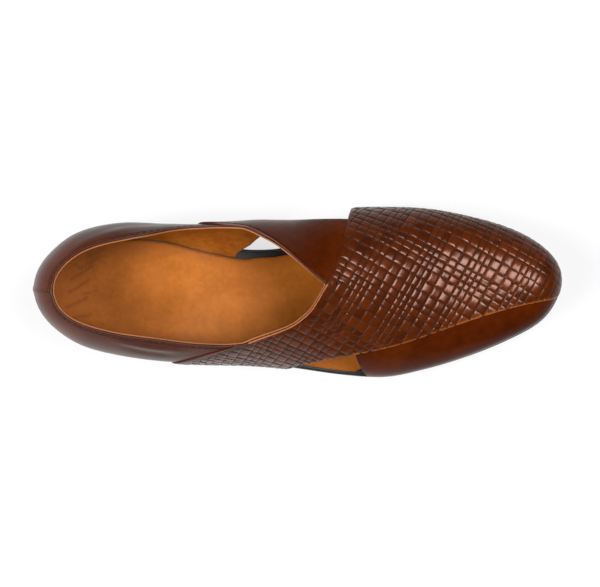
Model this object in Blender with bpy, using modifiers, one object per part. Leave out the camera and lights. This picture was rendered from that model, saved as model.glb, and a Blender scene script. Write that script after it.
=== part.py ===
"""Right-foot closed-toe crossover sandal in leather, built the way its maker builds it.

The toe points along +X, the inner (arch) side of the foot is +Y, and the sole stands on z = 0.
Every upper piece is a flat pattern, cut in the unrolled plane of the last and then pulled over it.
"""
import math

import bmesh
import bpy
import numpy as np
from mathutils import Vector
from mathutils.geometry import delaunay_2d_cdt

# Driving sizes, in metres
SOLE_LENGTH = 0.285
BALL_WIDTH = 0.092
INSTEP_HEIGHT = 0.075
HEEL_HEIGHT = 0.018
TOE_SPRING = 0.007
OUTSOLE = 0.0045
MIDSOLE = 0.003
INSOLE = 0.0025
LEATHER = 0.0017
OVERLAY = 0.0012
WEAVE_RISE = 0.00045

# How the pieces meet
GAP = 0.0003
INSOLE_CLEARANCE = 0.0005
WELT_MARGIN = 0.0048
MIDSOLE_INSET = 0.0008
LAP = 0.0010
TURNED_EDGE = 0.0004
HEEL_INSET = 0.0014
HEEL_TAPER = 0.0020
SOLE_BEVEL = 0.0008
HEEL_BEVEL = 0.0006

# Weave: strip widths along and across, three wide strips and then a band of narrow ones
WEAVE_TURN = math.radians(-30)
WEAVE_ALONG = (0.0054, 0.0054, 0.0054, 0.0100)
WEAVE_ACROSS = (0.0059, 0.0059, 0.0059, 0.0114)
WEAVE_GROOVE = 0.0007
SMALLEST_TILE = 8e-6

# Spacing of points on the patterns
EDGE_STEP = 0.0055
FILL_STEP = 0.0085
CLEAR_OF_EDGE = 0.0032
SAME_POINT = 0.0007
SOLE_STEP = 0.012
SOLE_EDGE_STEP = 0.0083
EDGE_LENGTHS = 2.2

# Fineness of the last's surface
TURN_STEP = 1e-4
ARCH_STEPS = 32
TUCK_STEPS = 30
TUCK_END = 2.5
HALVINGS = 42

# The crown line of the last, as shares of the sole's length from its middle
CROWN_BACK = -0.341
CROWN_FRONT = 0.420

# Sections of the last from heel to toe. Widths are shares of the ball width, heights are shares of
# the instep height, and full is the exponent of the arch between the widest line and the crown.
COLUMNS = ("along", "edge_in", "edge_out", "flare_in", "flare_out", "wide_in", "wide_out",
           "crown_side", "crown_up", "full_in", "full_out")
SECTIONS = (
    (0.00, 0.048, 0.048, 0.064, 0.064, 0.27, 0.27, 0.054, 1.00, 2.0, 2.0),
    (0.03, 0.234, -0.150, 0.076, 0.055, 0.27, 0.26, 0.054, 1.00, 2.0, 1.9),
    (0.08, 0.337, -0.257, 0.087, 0.054, 0.28, 0.25, 0.054, 1.00, 2.0, 1.7),
    (0.16, 0.391, -0.313, 0.087, 0.065, 0.30, 0.24, 0.055, 1.00, 2.0, 1.6),
    (0.24, 0.375, -0.340, 0.098, 0.071, 0.36, 0.23, 0.065, 0.99, 2.1, 1.6),
    (0.32, 0.313, -0.370, 0.161, 0.054, 0.42, 0.22, 0.075, 0.97, 2.2, 1.6),
    (0.40, 0.272, -0.402, 0.209, 0.032, 0.44, 0.21, 0.082, 0.93, 2.2, 1.6),
    (0.48, 0.293, -0.438, 0.199, 0.022, 0.42, 0.20, 0.087, 0.86, 2.1, 1.7),
    (0.58, 0.440, -0.483, 0.108, 0.021, 0.30, 0.18, 0.098, 0.74, 2.0, 1.8),
    (0.66, 0.498, -0.496, 0.055, 0.021, 0.21, 0.17, 0.095, 0.63, 2.0, 1.9),
    (0.74, 0.505, -0.448, 0.037, 0.020, 0.18, 0.16, 0.090, 0.53, 2.0, 2.0),
    (0.82, 0.462, -0.372, 0.035, 0.018, 0.16, 0.15, 0.087, 0.45, 2.1, 2.1),
    (0.90, 0.386, -0.269, 0.037, 0.017, 0.14, 0.14, 0.087, 0.385, 2.2, 2.2),
    (0.96, 0.293, -0.160, 0.028, 0.017, 0.13, 0.13, 0.087, 0.345, 2.2, 2.2),
    (1.00, 0.091, 0.091, 0.017, 0.017, 0.12, 0.12, 0.087, 0.32, 2.2, 2.2),
)

# Underside of the outsole: share of the sole's length, of the heel height and of the toe spring
SOLE_RISE = (
    (0.00, 1.00, 0.00),
    (0.14, 1.00, 0.00),
    (0.26, 0.93, 0.00),
    (0.34, 0.70, 0.00),
    (0.42, 0.36, 0.00),
    (0.50, 0.09, 0.00),
    (0.56, 0.00, 0.00),
    (0.76, 0.00, 0.00),
    (0.84, 0.00, 0.14),
    (0.92, 0.00, 0.48),
    (1.00, 0.00, 1.00),
)
HEEL_BREAST = 0.262

# Edges of the patterns. Each row is a share of the length and a share of the girth from the crown,
# 0, down to the sole: plus is the inner side of the foot and minus the outer side.
SOLE_SIDE = 1.05
PAST_SOLE = 1.10
VAMP_BACK = ((0.602, SOLE_SIDE), (0.601, 0.85), (0.598, 0.68), (0.587, 0.474), (0.567, 0.255),
             (0.539, 0.10), (0.502, 0.0))
THROAT = ((0.502, 0.0), (0.493, -0.068), (0.480, -0.160), (0.454, -0.255), (0.426, -0.317),
          (0.400, -0.369), (0.375, -0.425), (0.333, -0.513), (0.299, -0.606), (0.269, -0.726),
          (0.250, -0.87), (0.243, -SOLE_SIDE))
STRAP_FRONT = ((0.457, -PAST_SOLE), (0.465, -0.85), (0.482, -0.70), (0.512, -0.60), (0.550, -0.53),
               (0.592, -0.495))
TOE_SEAM = ((0.592, -0.495), (0.625, -0.468), (0.659, -0.447), (0.703, -0.424), (0.787, -0.376),
            (0.839, -0.349), (0.887, -0.329), (0.945, -0.325), (0.982, -0.41), (0.995, -0.66),
            (1.0, -SOLE_SIDE))
TOE_SIDE_BACK = ((0.592, -0.495), (0.602, -0.59), (0.614, -0.692), (0.624, -0.825),
                 (0.628, -PAST_SOLE))
INSTEP_EDGE = ((0.502, 0.0), (0.480, 0.090), (0.459, 0.177), (0.433, 0.275), (0.409, 0.350),
               (0.388, 0.430))
STRAP_BACK = ((0.388, 0.430), (0.358, 0.500), (0.326, 0.580), (0.302, 0.680), (0.291, 0.82),
              (0.286, SOLE_SIDE))
WAIST_EDGE = ((0.371, PAST_SOLE), (0.374, 0.98), (0.394, 0.905), (0.422, 0.80), (0.460, 0.68),
              (0.500, 0.585), (0.540, 0.52), (0.588, 0.487))
VAMP_SIDE = ((0.588, 0.487), (0.598, 0.68), (0.601, 0.85), (0.602, PAST_SOLE))
TOPLINE_IN = ((0.388, 0.430), (0.372, 0.480), (0.335, 0.530), (0.281, 0.548), (0.240, 0.520),
              (0.200, 0.475), (0.150, 0.449), (0.090, 0.438), (0.055, 0.440), (0.030, 0.434),
              (0.0135, 0.422), (0.004, 0.411), (0.000, 0.403))
TOPLINE_OUT = ((0.000, -0.403), (0.0045, -0.402), (0.014, -0.406), (0.030, -0.408), (0.060, -0.405),
               (0.114, -0.407), (0.164, -0.411), (0.203, -0.419), (0.244, -0.436), (0.285, -0.453),
               (0.330, -0.465), (0.366, -0.455))
THROAT_FREE = ((0.366, -0.455), (0.385, -0.403), (0.400, -0.369), (0.426, -0.317), (0.454, -0.255),
               (0.480, -0.160), (0.493, -0.068), (0.502, 0.0))
STRAP_RISE = ((0.470, 0.133), (0.455, 0.190), (0.433, 0.275), (0.409, 0.350), (0.388, 0.430))
STRAP_SHADE = ((0.505, 0.575), (0.495, 0.45), (0.482, 0.30), (0.470, 0.133))
STRAP_LOW = ((0.371, SOLE_SIDE), (0.374, 0.98), (0.394, 0.905), (0.422, 0.80), (0.460, 0.68),
             (0.505, 0.575))
STRAP_FULL_AT = 0.41
STRAP_START_AT = 0.51


def column(name):
    """One named column of the section table, from heel to toe."""
    return np.array([row[COLUMNS.index(name)] for row in SECTIONS])


def hermite(knots, values, slopes, at):
    """Cubic through the knots with the given slopes."""
    index = np.clip(np.searchsorted(knots, at, side="right") - 1, 0, len(knots) - 2)
    step = knots[index + 1] - knots[index]
    u = (at - knots[index]) / step
    start = (1 + 2 * u) * (1 - u) ** 2 * values[index] + u * (1 - u) ** 2 * step * slopes[index]
    end = u * u * (3 - 2 * u) * values[index + 1] - u * u * (1 - u) * step * slopes[index + 1]
    return start + end


def around(inner, outer):
    """A smooth closed curve of one column pair over the turn: 0 at the heel, pi at the toe."""
    inner_knots = np.arccos(1 - 2 * column("along"))
    knots = np.concatenate([inner_knots, 2 * math.pi - inner_knots[-2::-1]])
    values = np.concatenate([column(inner), column(outer)[-2::-1]])
    steps = np.diff(knots)
    rises = np.diff(values) / steps
    before = np.roll(steps, 1)
    slopes = (np.roll(rises, 1) * steps + rises * before) / (before + steps)
    slopes = np.append(slopes, slopes[0])
    return lambda turn: hermite(knots, values, slopes, np.mod(turn, 2 * math.pi))


EDGE = around("edge_in", "edge_out")
FLARE = around("flare_in", "flare_out")
WIDE = around("wide_in", "wide_out")
CROWN_SIDE = around("crown_side", "crown_side")
CROWN_UP = around("crown_up", "crown_up")
FULL = around("full_in", "full_out")


def level(values, knots, at):
    """A curve that never overshoots its rows, so that level rows stay flat."""
    rises = np.diff(values) / np.diff(knots)
    slopes = np.zeros(len(values))
    product = rises[:-1] * rises[1:]
    same = product > 0
    slopes[1:-1][same] = 2 * product[same] / (rises[:-1] + rises[1:])[same]
    slopes[-1] = rises[-1]
    return hermite(knots, values, slopes, np.clip(at, knots[0], knots[-1]))


def sole_bottom(x):
    """Height of the outsole's underside."""
    knots, heel, toe = (np.array(values) for values in zip(*SOLE_RISE))
    along = x / SOLE_LENGTH + 0.5
    return HEEL_HEIGHT * level(heel, knots, along) + TOE_SPRING * level(toe, knots, along)


def feather_height(x):
    """Height of the midsole's top, on which upper and insole stand."""
    return sole_bottom(x) + OUTSOLE + MIDSOLE


def turn_of(along, inner_side):
    """The turn around the sole at a share of its length."""
    turn = math.acos(1 - 2 * along)
    return turn if inner_side else 2 * math.pi - turn


def sole_outline(turn, inset=0.0):
    """Points of the sole's edge, moved in by the inset, and the outward directions there."""
    def edge(at):
        return np.stack([-SOLE_LENGTH / 2 * np.cos(at), BALL_WIDTH * EDGE(at)], axis=-1)
    ahead = edge(turn + TURN_STEP) - edge(turn - TURN_STEP)
    outward = np.stack([-ahead[:, 1], ahead[:, 0]], axis=-1)
    outward /= np.linalg.norm(outward, axis=1, keepdims=True)
    return edge(turn) - outward * inset, outward


def crown_line(turn):
    """Plan points of the last's crown, the middle of every section."""
    share = (1 - np.cos(turn)) / 2
    x = SOLE_LENGTH * (CROWN_BACK + (CROWN_FRONT - CROWN_BACK) * share)
    return np.stack([x, BALL_WIDTH * CROWN_SIDE(turn)], axis=-1)


# Steps down one section: 0 is the crown, 1 the widest line and 2 the feather line at the sole
DOWN = np.concatenate([np.linspace(0, 1, ARCH_STEPS + 1), np.linspace(1, TUCK_END, TUCK_STEPS + 1)[1:]])
FEATHER_STEP = 2.0


def sections(turn):
    """Points of the last down each section, and the length of leather from the crown to them."""
    feather, outward = sole_outline(turn, WELT_MARGIN)
    wide = feather + outward * (BALL_WIDTH * FLARE(turn))[:, None]
    crown = crown_line(turn)
    low = feather_height(feather[:, 0])[:, None]
    middle = low + INSTEP_HEIGHT * WIDE(turn)[:, None]
    top = low + INSTEP_HEIGHT * CROWN_UP(turn)[:, None]
    power = 2 / FULL(turn)[:, None]
    angle = np.clip(DOWN, 0, 1)[None, :] * math.pi / 2
    tuck = np.clip(DOWN - 1, 0, None)[None, :]
    out = np.sin(angle) ** power
    plan = crown[:, None] + (wide - crown)[:, None] * out[..., None]
    plan = plan + (feather - wide)[:, None] * (tuck ** 2)[..., None]
    arch = np.clip(np.cos(angle), 0, 1) ** power * (DOWN < 1)
    height = middle + (top - middle) * arch + (low - middle) * tuck
    points = np.concatenate([plan, height[..., None]], axis=-1)
    steps = np.linalg.norm(np.diff(points, axis=1), axis=2)
    reach = np.concatenate([np.zeros((len(turn), 1)), np.cumsum(steps, axis=1)], axis=1)
    return points, reach


def spread(turn):
    """Direction in plan in which each section leaves the crown line."""
    feather, outward = sole_outline(turn, WELT_MARGIN)
    across = feather + outward * (BALL_WIDTH * FLARE(turn))[:, None] - crown_line(turn)
    return across / np.linalg.norm(across, axis=1, keepdims=True)


def read(table, rows, at):
    """Value of every row of a rising table at its own place."""
    return np.array([np.interp(place, table[row], rows[row]) for row, place in enumerate(at)])


def unroll(rows):
    """Places on the last, as shares of length and girth, in the unrolled plane of the pattern."""
    turn = np.array([turn_of(along, girth > 0) for along, girth in rows])
    _, reach = sections(turn)
    full = np.array([np.interp(FEATHER_STEP, DOWN, row) for row in reach])
    girth = np.abs([girth for _, girth in rows]) * full
    return crown_line(turn) + spread(turn) * girth[:, None]


def turn_at(flat):
    """The section that passes through each point of the unrolled plane."""
    best_turn = np.zeros(len(flat))
    best_reach = np.zeros(len(flat))
    best_miss = np.full(len(flat), np.inf)
    for start in (0.0, math.pi):
        low = np.full(len(flat), start)
        high = low + math.pi
        for _ in range(HALVINGS):
            middle = (low + high) / 2
            away = flat - crown_line(middle)
            way = spread(middle)
            ahead = away[:, 0] * way[:, 1] - away[:, 1] * way[:, 0] > 0
            low = np.where(ahead, middle, low)
            high = np.where(ahead, high, middle)
        away = flat - crown_line(low)
        way = spread(low)
        reach = np.sum(away * way, axis=1)
        miss = np.abs(away[:, 0] * way[:, 1] - away[:, 1] * way[:, 0])
        better = (reach > -1e-6) & (miss < best_miss)
        best_turn = np.where(better, low, best_turn)
        best_reach = np.where(better, reach, best_reach)
        best_miss = np.where(better, miss, best_miss)
    return best_turn, np.maximum(best_reach, 0)


def over_last(flat):
    """Pull points of the unrolled plane over the last."""
    turn, reach = turn_at(flat)
    points, lengths = sections(turn)
    return np.stack([read(lengths, points[:, :, axis], reach) for axis in range(3)], axis=-1)


def smooth(rows, step=EDGE_STEP):
    """A pattern edge through the given places, with a point about every step."""
    knots = unroll(rows)
    before = np.vstack([2 * knots[0] - knots[1], knots[:-1]])
    after = np.vstack([knots[1:], 2 * knots[-1] - knots[-2]])
    slopes = (after - before) / 2
    points = [knots[0]]
    for i in range(len(knots) - 1):
        count = max(1, round(np.linalg.norm(knots[i + 1] - knots[i]) / step))
        for u in np.arange(1, count + 1) / count:
            start = (1 + 2 * u) * (1 - u) ** 2 * knots[i] + u * (1 - u) ** 2 * slopes[i]
            end = u * u * (3 - 2 * u) * knots[i + 1] - u * u * (1 - u) * slopes[i + 1]
            points.append(start + end)
    return np.array(points)


def along_sole(start, end, inner_side):
    """The lasted margin of a pattern, along the sole from one share of its length to another."""
    first, last = turn_of(start, inner_side), turn_of(end, inner_side)
    count = max(2, round(abs(end - start) * SOLE_LENGTH / EDGE_STEP))
    turns = np.linspace(first, last, count)
    shares = (1 - np.cos(turns)) / 2
    side = SOLE_SIDE if inner_side else -SOLE_SIDE
    return unroll([(share, side) for share in shares])


def join(*edges):
    """One closed loop from edges that follow each other."""
    points = np.concatenate(edges)
    apart = np.linalg.norm(points - np.roll(points, 1, axis=0), axis=1) > SAME_POINT
    return points[apart]


def grow(loop, distance):
    """Move a loop outwards in the unrolled plane."""
    ahead = np.roll(loop, -1, axis=0) - np.roll(loop, 1, axis=0)
    outward = np.stack([ahead[:, 1], -ahead[:, 0]], axis=1)
    outward /= np.linalg.norm(outward, axis=1, keepdims=True)
    turning = np.sum(loop[:, 0] * np.roll(loop[:, 1], -1) - loop[:, 1] * np.roll(loop[:, 0], -1))
    return loop + outward * distance * math.copysign(1, turning)


def inside(points, loop):
    """Which points lie inside a closed loop."""
    x, y = points[:, 0][:, None], points[:, 1][:, None]
    ax, ay = loop[:, 0][None], loop[:, 1][None]
    bx, by = np.roll(ax, -1), np.roll(ay, -1)
    crosses = (ay > y) != (by > y)
    with np.errstate(divide="ignore", invalid="ignore"):
        at = ax + (y - ay) * (bx - ax) / (by - ay)
    return np.sum(crosses & (x < at), axis=1) % 2 == 1


def far_from(points, loop):
    """Which points keep clear of a loop's own points."""
    apart = np.linalg.norm(points[:, None] - loop[None], axis=2)
    return apart.min(axis=1) > CLEAR_OF_EDGE


def fill_points(loop, step):
    """Staggered points over the box of a loop."""
    low, high = loop.min(axis=0), loop.max(axis=0)
    rows = np.arange(low[1], high[1], step * math.sqrt(3) / 2)
    points = [(x + step / 2 * (i % 2), y) for i, y in enumerate(rows)
              for x in np.arange(low[0], high[0], step)]
    return np.array(points)


def cut_flat(outer, holes=(), step=FILL_STEP, lines=()):
    """Cut a flat pattern: its points, and its faces as lists of point numbers."""
    loops = [outer, *holes]
    if lines:
        points = [Vector(point) for loop in loops for point in loop]
        points += [Vector(point) for line in lines for point in line]
    else:
        fill = fill_points(outer, step)
        keep = inside(fill, outer)
        for loop in loops:
            keep &= far_from(fill, loop)
        points = [Vector(point) for loop in loops for point in loop]
        points += [Vector(point) for point in fill[keep]]
    edges = []
    start = 0
    for loop in loops:
        edges += [(start + i, start + (i + 1) % len(loop)) for i in range(len(loop))]
        start += len(loop)
    edges += [(start + 2 * i, start + 2 * i + 1) for i in range(len(lines))]
    found, _, faces, *_ = delaunay_2d_cdt(points, edges, [], 0, 1e-6)
    flat = np.array([tuple(point) for point in found])
    middles = np.array([flat[face].mean(axis=0) for face in faces])
    keep = inside(middles, outer)
    for hole in holes:
        keep &= ~inside(middles, hole)
    return flat, [face for face, kept in zip(faces, keep) if kept]


def mesh_object(name, points, faces, collection):
    """A mesh object without loose points, its faces turned up."""
    mesh = bpy.data.meshes.new(name)
    mesh.from_pydata([tuple(point) for point in points], [], [list(face) for face in faces])
    work = bmesh.new()
    work.from_mesh(mesh)
    loose = [vert for vert in work.verts if not vert.link_faces]
    bmesh.ops.delete(work, geom=loose, context="VERTS")
    work.to_mesh(mesh)
    work.free()
    thing = bpy.data.objects.new(name, mesh)
    collection.objects.link(thing)
    return thing


def freeze(thing):
    """Apply an object's modifiers to its own mesh."""
    bpy.context.view_layer.update()
    evaluated = thing.evaluated_get(bpy.context.evaluated_depsgraph_get())
    mesh = bpy.data.meshes.new_from_object(evaluated)
    thing.modifiers.clear()
    thing.data = mesh


def flatten_faces(thing):
    """Split an object's faces into triangles, so that every face is flat."""
    work = bmesh.new()
    work.from_mesh(thing.data)
    bmesh.ops.triangulate(work, faces=work.faces)
    work.to_mesh(thing.data)
    work.free()


def boolean(thing, other, operation, solver="EXACT"):
    """Join or cut with another object."""
    flatten_faces(thing)
    flatten_faces(other)
    step = thing.modifiers.new(operation.lower(), "BOOLEAN")
    step.operation = operation
    step.solver = solver
    step.object = other
    freeze(thing)


def leather_shell(thing, inner, outer):
    """Give a pattern its thickness, between two offsets from the last."""
    lift = thing.modifiers.new("lift", "DISPLACE")
    lift.mid_level = 0.0
    lift.strength = outer
    wall = thing.modifiers.new("wall", "SOLIDIFY")
    wall.thickness = outer - inner
    wall.offset = -1.0
    freeze(thing)


def material(name, colour, roughness):
    """A plain principled material."""
    surface = bpy.data.materials.new(name)
    surface.use_nodes = True
    shader = surface.node_tree.nodes["Principled BSDF"]
    shader.inputs["Base Color"].default_value = (*colour, 1.0)
    shader.inputs["Roughness"].default_value = roughness
    shader.inputs["Metallic"].default_value = 0.0
    surface.diffuse_color = (*colour, 1.0)
    return surface


def opening_loop():
    """The foot's opening: instep strap, topline around the heel, and the throat of the vamp."""
    edges = (INSTEP_EDGE, TOPLINE_IN, TOPLINE_OUT, THROAT_FREE)
    return join(*(smooth(edge)[:-1] for edge in edges))


def outer_window_loop():
    """The gap in front of the woven strap on the outer side."""
    return join(smooth(STRAP_FRONT)[:-1], smooth(TOE_SIDE_BACK))


def inner_window_loop():
    """The gap under the instep strap on the inner side."""
    return join(smooth(WAIST_EDGE)[:-1], smooth(VAMP_SIDE))


def base_pattern():
    """The whole lasted leather, before its openings are cut."""
    turns = np.linspace(0, 2 * math.pi, round(EDGE_LENGTHS * SOLE_LENGTH / EDGE_STEP) + 1)[:-1]
    shares = (1 - np.cos(turns)) / 2
    sides = np.where(turns <= math.pi, SOLE_SIDE, -SOLE_SIDE)
    return unroll(list(zip(shares, sides)))


def lining_and_vamp(collection):
    """The plain leather wall: toe side, instep strap and heel quarter in one lasted shell."""
    holes = [grow(loop, TURNED_EDGE) for loop in
             (opening_loop(), outer_window_loop(), inner_window_loop())]
    flat, faces = cut_flat(base_pattern(), holes)
    wall = mesh_object("upper", over_last(flat), faces, collection)
    leather_shell(wall, 0.0, LEATHER)
    return wall


def woven_outline():
    """The woven panel: over the toe, across the instep and down the outer side as a strap."""
    return join(smooth(VAMP_BACK)[:-1], smooth(THROAT)[:-1], along_sole(0.243, 0.457, False)[:-1],
                smooth(STRAP_FRONT)[:-1], smooth(TOE_SEAM)[:-1], along_sole(1.0, 0.602, True)[:-1])


def strip_borders(widths, low, high):
    """Places of the borders between strips, repeating the widths from zero both ways."""
    repeat = sum(widths)
    first, last = math.floor(low / repeat), math.ceil(high / repeat)
    starts = np.concatenate([[0.0], np.cumsum(widths)[:-1]])
    places = np.concatenate([starts + turn * repeat for turn in range(first, last + 1)])
    return places[(places > low) & (places < high)]


def weave_ways():
    """Directions of the two families of strips in the unrolled plane."""
    along = np.array([math.cos(WEAVE_TURN), math.sin(WEAVE_TURN)])
    return along, np.array([-along[1], along[0]])


def weave_borders(outline):
    """Places of all strip borders along and across the panel."""
    widths = (WEAVE_ALONG, WEAVE_ACROSS)
    reaches = [outline @ way for way in weave_ways()]
    return [strip_borders(row, reach.min(), reach.max()) for row, reach in zip(widths, reaches)]


def weave_lines(outline):
    """Straight lines between the strips, both ways, across the whole panel."""
    ways = weave_ways()
    lines = []
    for places, way, other in zip(weave_borders(outline), ways, ways[::-1]):
        span = outline @ other
        for place in places:
            start = way * place + other * (span.min() - EDGE_STEP)
            end = way * place + other * (span.max() + EDGE_STEP)
            lines.append((start, end))
    return lines


def merge_crossings(work, outline):
    """Make one face of all that lies in the same crossing of two strips."""
    borders = weave_borders(outline)

    def crossing(face):
        middle = np.array(face.calc_center_median())[:2]
        return [int(np.searchsorted(places, middle @ way)) for places, way in zip(borders, weave_ways())]

    inner = [edge for edge in work.edges if len(edge.link_faces) == 2
             and crossing(edge.link_faces[0]) == crossing(edge.link_faces[1])]
    bmesh.ops.dissolve_edges(work, edges=inner, use_verts=False)


def raise_strips(thing, count):
    """Raise the strip crossings, the first faces of the panel, out of its outer side."""
    work = bmesh.new()
    work.from_mesh(thing.data)
    work.faces.ensure_lookup_table()
    tiles = [face for face in work.faces[:count] if face.calc_area() > SMALLEST_TILE]
    bmesh.ops.inset_individual(work, faces=tiles, thickness=WEAVE_GROOVE, depth=WEAVE_RISE)
    work.to_mesh(thing.data)
    work.free()


def woven_panel(collection):
    """The embossed overlay, one leather thickness above the wall, with its strips raised."""
    outline = woven_outline()
    flat, faces = cut_flat(outline, lines=weave_lines(outline))
    panel = mesh_object("woven", [(x, y, 0.0) for x, y in flat], faces, collection)
    work = bmesh.new()
    work.from_mesh(panel.data)
    merge_crossings(work, outline)
    for vert, point in zip(work.verts, over_last(np.array([vert.co[:2] for vert in work.verts]))):
        vert.co = point
    work.to_mesh(panel.data)
    work.free()
    crossings = len(panel.data.polygons)
    leather_shell(panel, LEATHER - LAP, LEATHER + OVERLAY - WEAVE_RISE)
    raise_strips(panel, crossings)
    return panel


def strap_over_quarter(collection):
    """The instep strap where it lies outside the heel quarter and runs down to the sole."""
    outline = join(smooth(STRAP_RISE)[:-1], smooth(STRAP_BACK)[:-1],
                   along_sole(0.286, 0.371, True)[:-1], smooth(STRAP_LOW)[:-1], smooth(STRAP_SHADE)[:-1])
    flat, faces = cut_flat(outline)
    strap = mesh_object("strap", over_last(flat), faces, collection)
    mesh = strap.data
    places = np.array([vert.co.x for vert in mesh.vertices]) / SOLE_LENGTH + 0.5
    rise = np.clip((STRAP_START_AT - places) / (STRAP_START_AT - STRAP_FULL_AT), 0, 1)
    rise = rise * rise * (3 - 2 * rise)
    offset = LEATHER - TURNED_EDGE + (OVERLAY + TURNED_EDGE) * rise
    normals = [vert.normal.copy() for vert in mesh.vertices]
    for vert, normal, distance in zip(mesh.vertices, normals, offset):
        vert.co += normal * distance
    wall = strap.modifiers.new("wall", "SOLIDIFY")
    wall.thickness = OVERLAY + LAP
    wall.offset = -1.0
    freeze(strap)
    return strap


def sole_space(collection):
    """Everything below the midsole's top, used to trim the lasted margin of the upper."""
    stations = np.linspace(-0.6, 0.6, 97) * SOLE_LENGTH
    heights = feather_height(stations) + GAP
    points = []
    for x, z in zip(stations, heights):
        points += [(x, -BALL_WIDTH, z), (x, BALL_WIDTH, z)]
    faces = [(2 * i, 2 * i + 2, 2 * i + 3, 2 * i + 1) for i in range(len(stations) - 1)]
    trim = mesh_object("sole_space", points, faces, collection)
    work = bmesh.new()
    work.from_mesh(trim.data)
    base = bmesh.ops.extrude_face_region(work, geom=list(work.faces))
    for vert in [item for item in base["geom"] if isinstance(item, bmesh.types.BMVert)]:
        vert.co.z = -HEEL_HEIGHT
    bmesh.ops.recalc_face_normals(work, faces=work.faces)
    work.to_mesh(trim.data)
    work.free()
    hide(trim)
    return trim


def hide(guide):
    """Mark a cutter or guide."""
    guide.hide_render = True
    guide.display_type = "WIRE"


def upper(parts, guides):
    """The hollow upper: one leather wall with the woven panel and the strap as steps in it."""
    wall = lining_and_vamp(parts)
    for overlay in (woven_panel(guides), strap_over_quarter(guides)):
        boolean(wall, overlay, "UNION")
        bpy.data.objects.remove(overlay)
    boolean(wall, sole_space(guides), "DIFFERENCE", "MANIFOLD")
    finish(wall, material("brown_leather", (0.105, 0.028, 0.008), 0.35), 35)
    return wall


def finish(thing, surface, angle):
    """Material and shading of a finished piece."""
    thing.data.materials.clear()
    thing.data.materials.append(surface)
    thing.data.shade_smooth()
    thing.data.set_sharp_from_angle(angle=math.radians(angle))


def sole_turns():
    """Turns around the sole with a point about every step of its edge."""
    return np.linspace(0, 2 * math.pi, round(EDGE_LENGTHS * SOLE_LENGTH / SOLE_EDGE_STEP) + 1)[:-1]


def layer(name, inset, bottom, thickness, collection):
    """One layer of the sole, bent to its profile, with the outline moved in by the inset."""
    outline, _ = sole_outline(sole_turns(), inset)
    flat, faces = cut_flat(outline[::-1], step=SOLE_STEP)
    points = [(x, y, bottom(np.array(x))) for x, y in flat]
    thing = mesh_object(name, points, faces, collection)
    thicken(thing, thickness)
    return thing


def thicken(thing, thickness):
    """Close a sheet straight up into a solid."""
    work = bmesh.new()
    work.from_mesh(thing.data)
    top = bmesh.ops.extrude_face_region(work, geom=list(work.faces))
    for vert in [item for item in top["geom"] if isinstance(item, bmesh.types.BMVert)]:
        vert.co.z += thickness
    bmesh.ops.recalc_face_normals(work, faces=work.faces)
    work.to_mesh(thing.data)
    work.free()


def soften(thing, width, angle):
    """Round a piece's sharp edges."""
    bevel = thing.modifiers.new("edges", "BEVEL")
    bevel.width = width
    bevel.segments = 2
    bevel.limit_method = "ANGLE"
    bevel.angle_limit = math.radians(angle)
    freeze(thing)


def outsole(parts):
    """The black sole: arch, toe spring and a flat tread under the ball."""
    sole = layer("outsole", 0.0, sole_bottom, OUTSOLE, parts)
    soften(sole, SOLE_BEVEL, 50)
    finish(sole, material("black_sole", (0.012, 0.011, 0.010), 0.45), 40)
    return sole


def midsole(parts):
    """The brown rand between outsole and insole, kept a hair above the outsole."""
    rand = layer("midsole", MIDSOLE_INSET, lambda x: sole_bottom(x) + OUTSOLE + GAP, MIDSOLE - GAP, parts)
    finish(rand, material("brown_rand", (0.040, 0.018, 0.009), 0.5), 40)
    return rand


def insole(parts):
    """The tan footbed inside the upper."""
    inset = WELT_MARGIN + INSOLE_CLEARANCE
    bed = layer("insole", inset, lambda x: feather_height(x) + GAP, INSOLE, parts)
    finish(bed, material("tan_insole", (0.42, 0.16, 0.045), 0.5), 40)
    return bed


def heel(parts):
    """The low heel block: flat on the ground, its top following the outsole."""
    turns = sole_turns()
    top, outward = sole_outline(turns, HEEL_INSET)
    breast = SOLE_LENGTH * (HEEL_BREAST - 0.5)
    keep = top[:, 0] < breast - EDGE_STEP / 2
    inner, _ = sole_outline(np.array([turn_of(HEEL_BREAST, True)]), HEEL_INSET)
    outer, _ = sole_outline(np.array([turn_of(HEEL_BREAST, False)]), HEEL_INSET)
    rim = [point for point, kept in zip(top, keep) if kept and point[1] >= top[0][1]]
    back = [point for point, kept in zip(top, keep) if kept and point[1] < top[0][1]]
    outline = np.array(rim + [inner[0], outer[0]] + back)
    flat, faces = cut_flat(outline[::-1], step=SOLE_STEP)
    block = mesh_object("heel", [(x, y, 0.0) for x, y in flat], faces, parts)
    thicken(block, 1.0)
    centre = outline.mean(axis=0)
    reach = np.abs(outline - centre).max(axis=0)
    for vert in block.data.vertices:
        if vert.co.z > 0.5:
            vert.co.z = float(sole_bottom(np.array(vert.co.x))) - GAP
        else:
            vert.co.x -= HEEL_TAPER * (vert.co.x - centre[0]) / reach[0]
            vert.co.y -= HEEL_TAPER * (vert.co.y - centre[1]) / reach[1]
    soften(block, HEEL_BEVEL, 50)
    finish(block, material("black_heel", (0.014, 0.012, 0.011), 0.5), 40)
    return block


def centre_on_floor(things):
    """Put the origin under the middle of the whole shoe's box."""
    corners = np.array([vert.co for thing in things for vert in thing.data.vertices])
    low, high = corners.min(axis=0), corners.max(axis=0)
    shift = Vector((-(low[0] + high[0]) / 2, -(low[1] + high[1]) / 2, -low[2]))
    for thing in things:
        for vert in thing.data.vertices:
            vert.co += shift


def new_collection(name):
    """A new collection in the scene."""
    group = bpy.data.collections.new(name)
    bpy.context.scene.collection.children.link(group)
    return group


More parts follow.
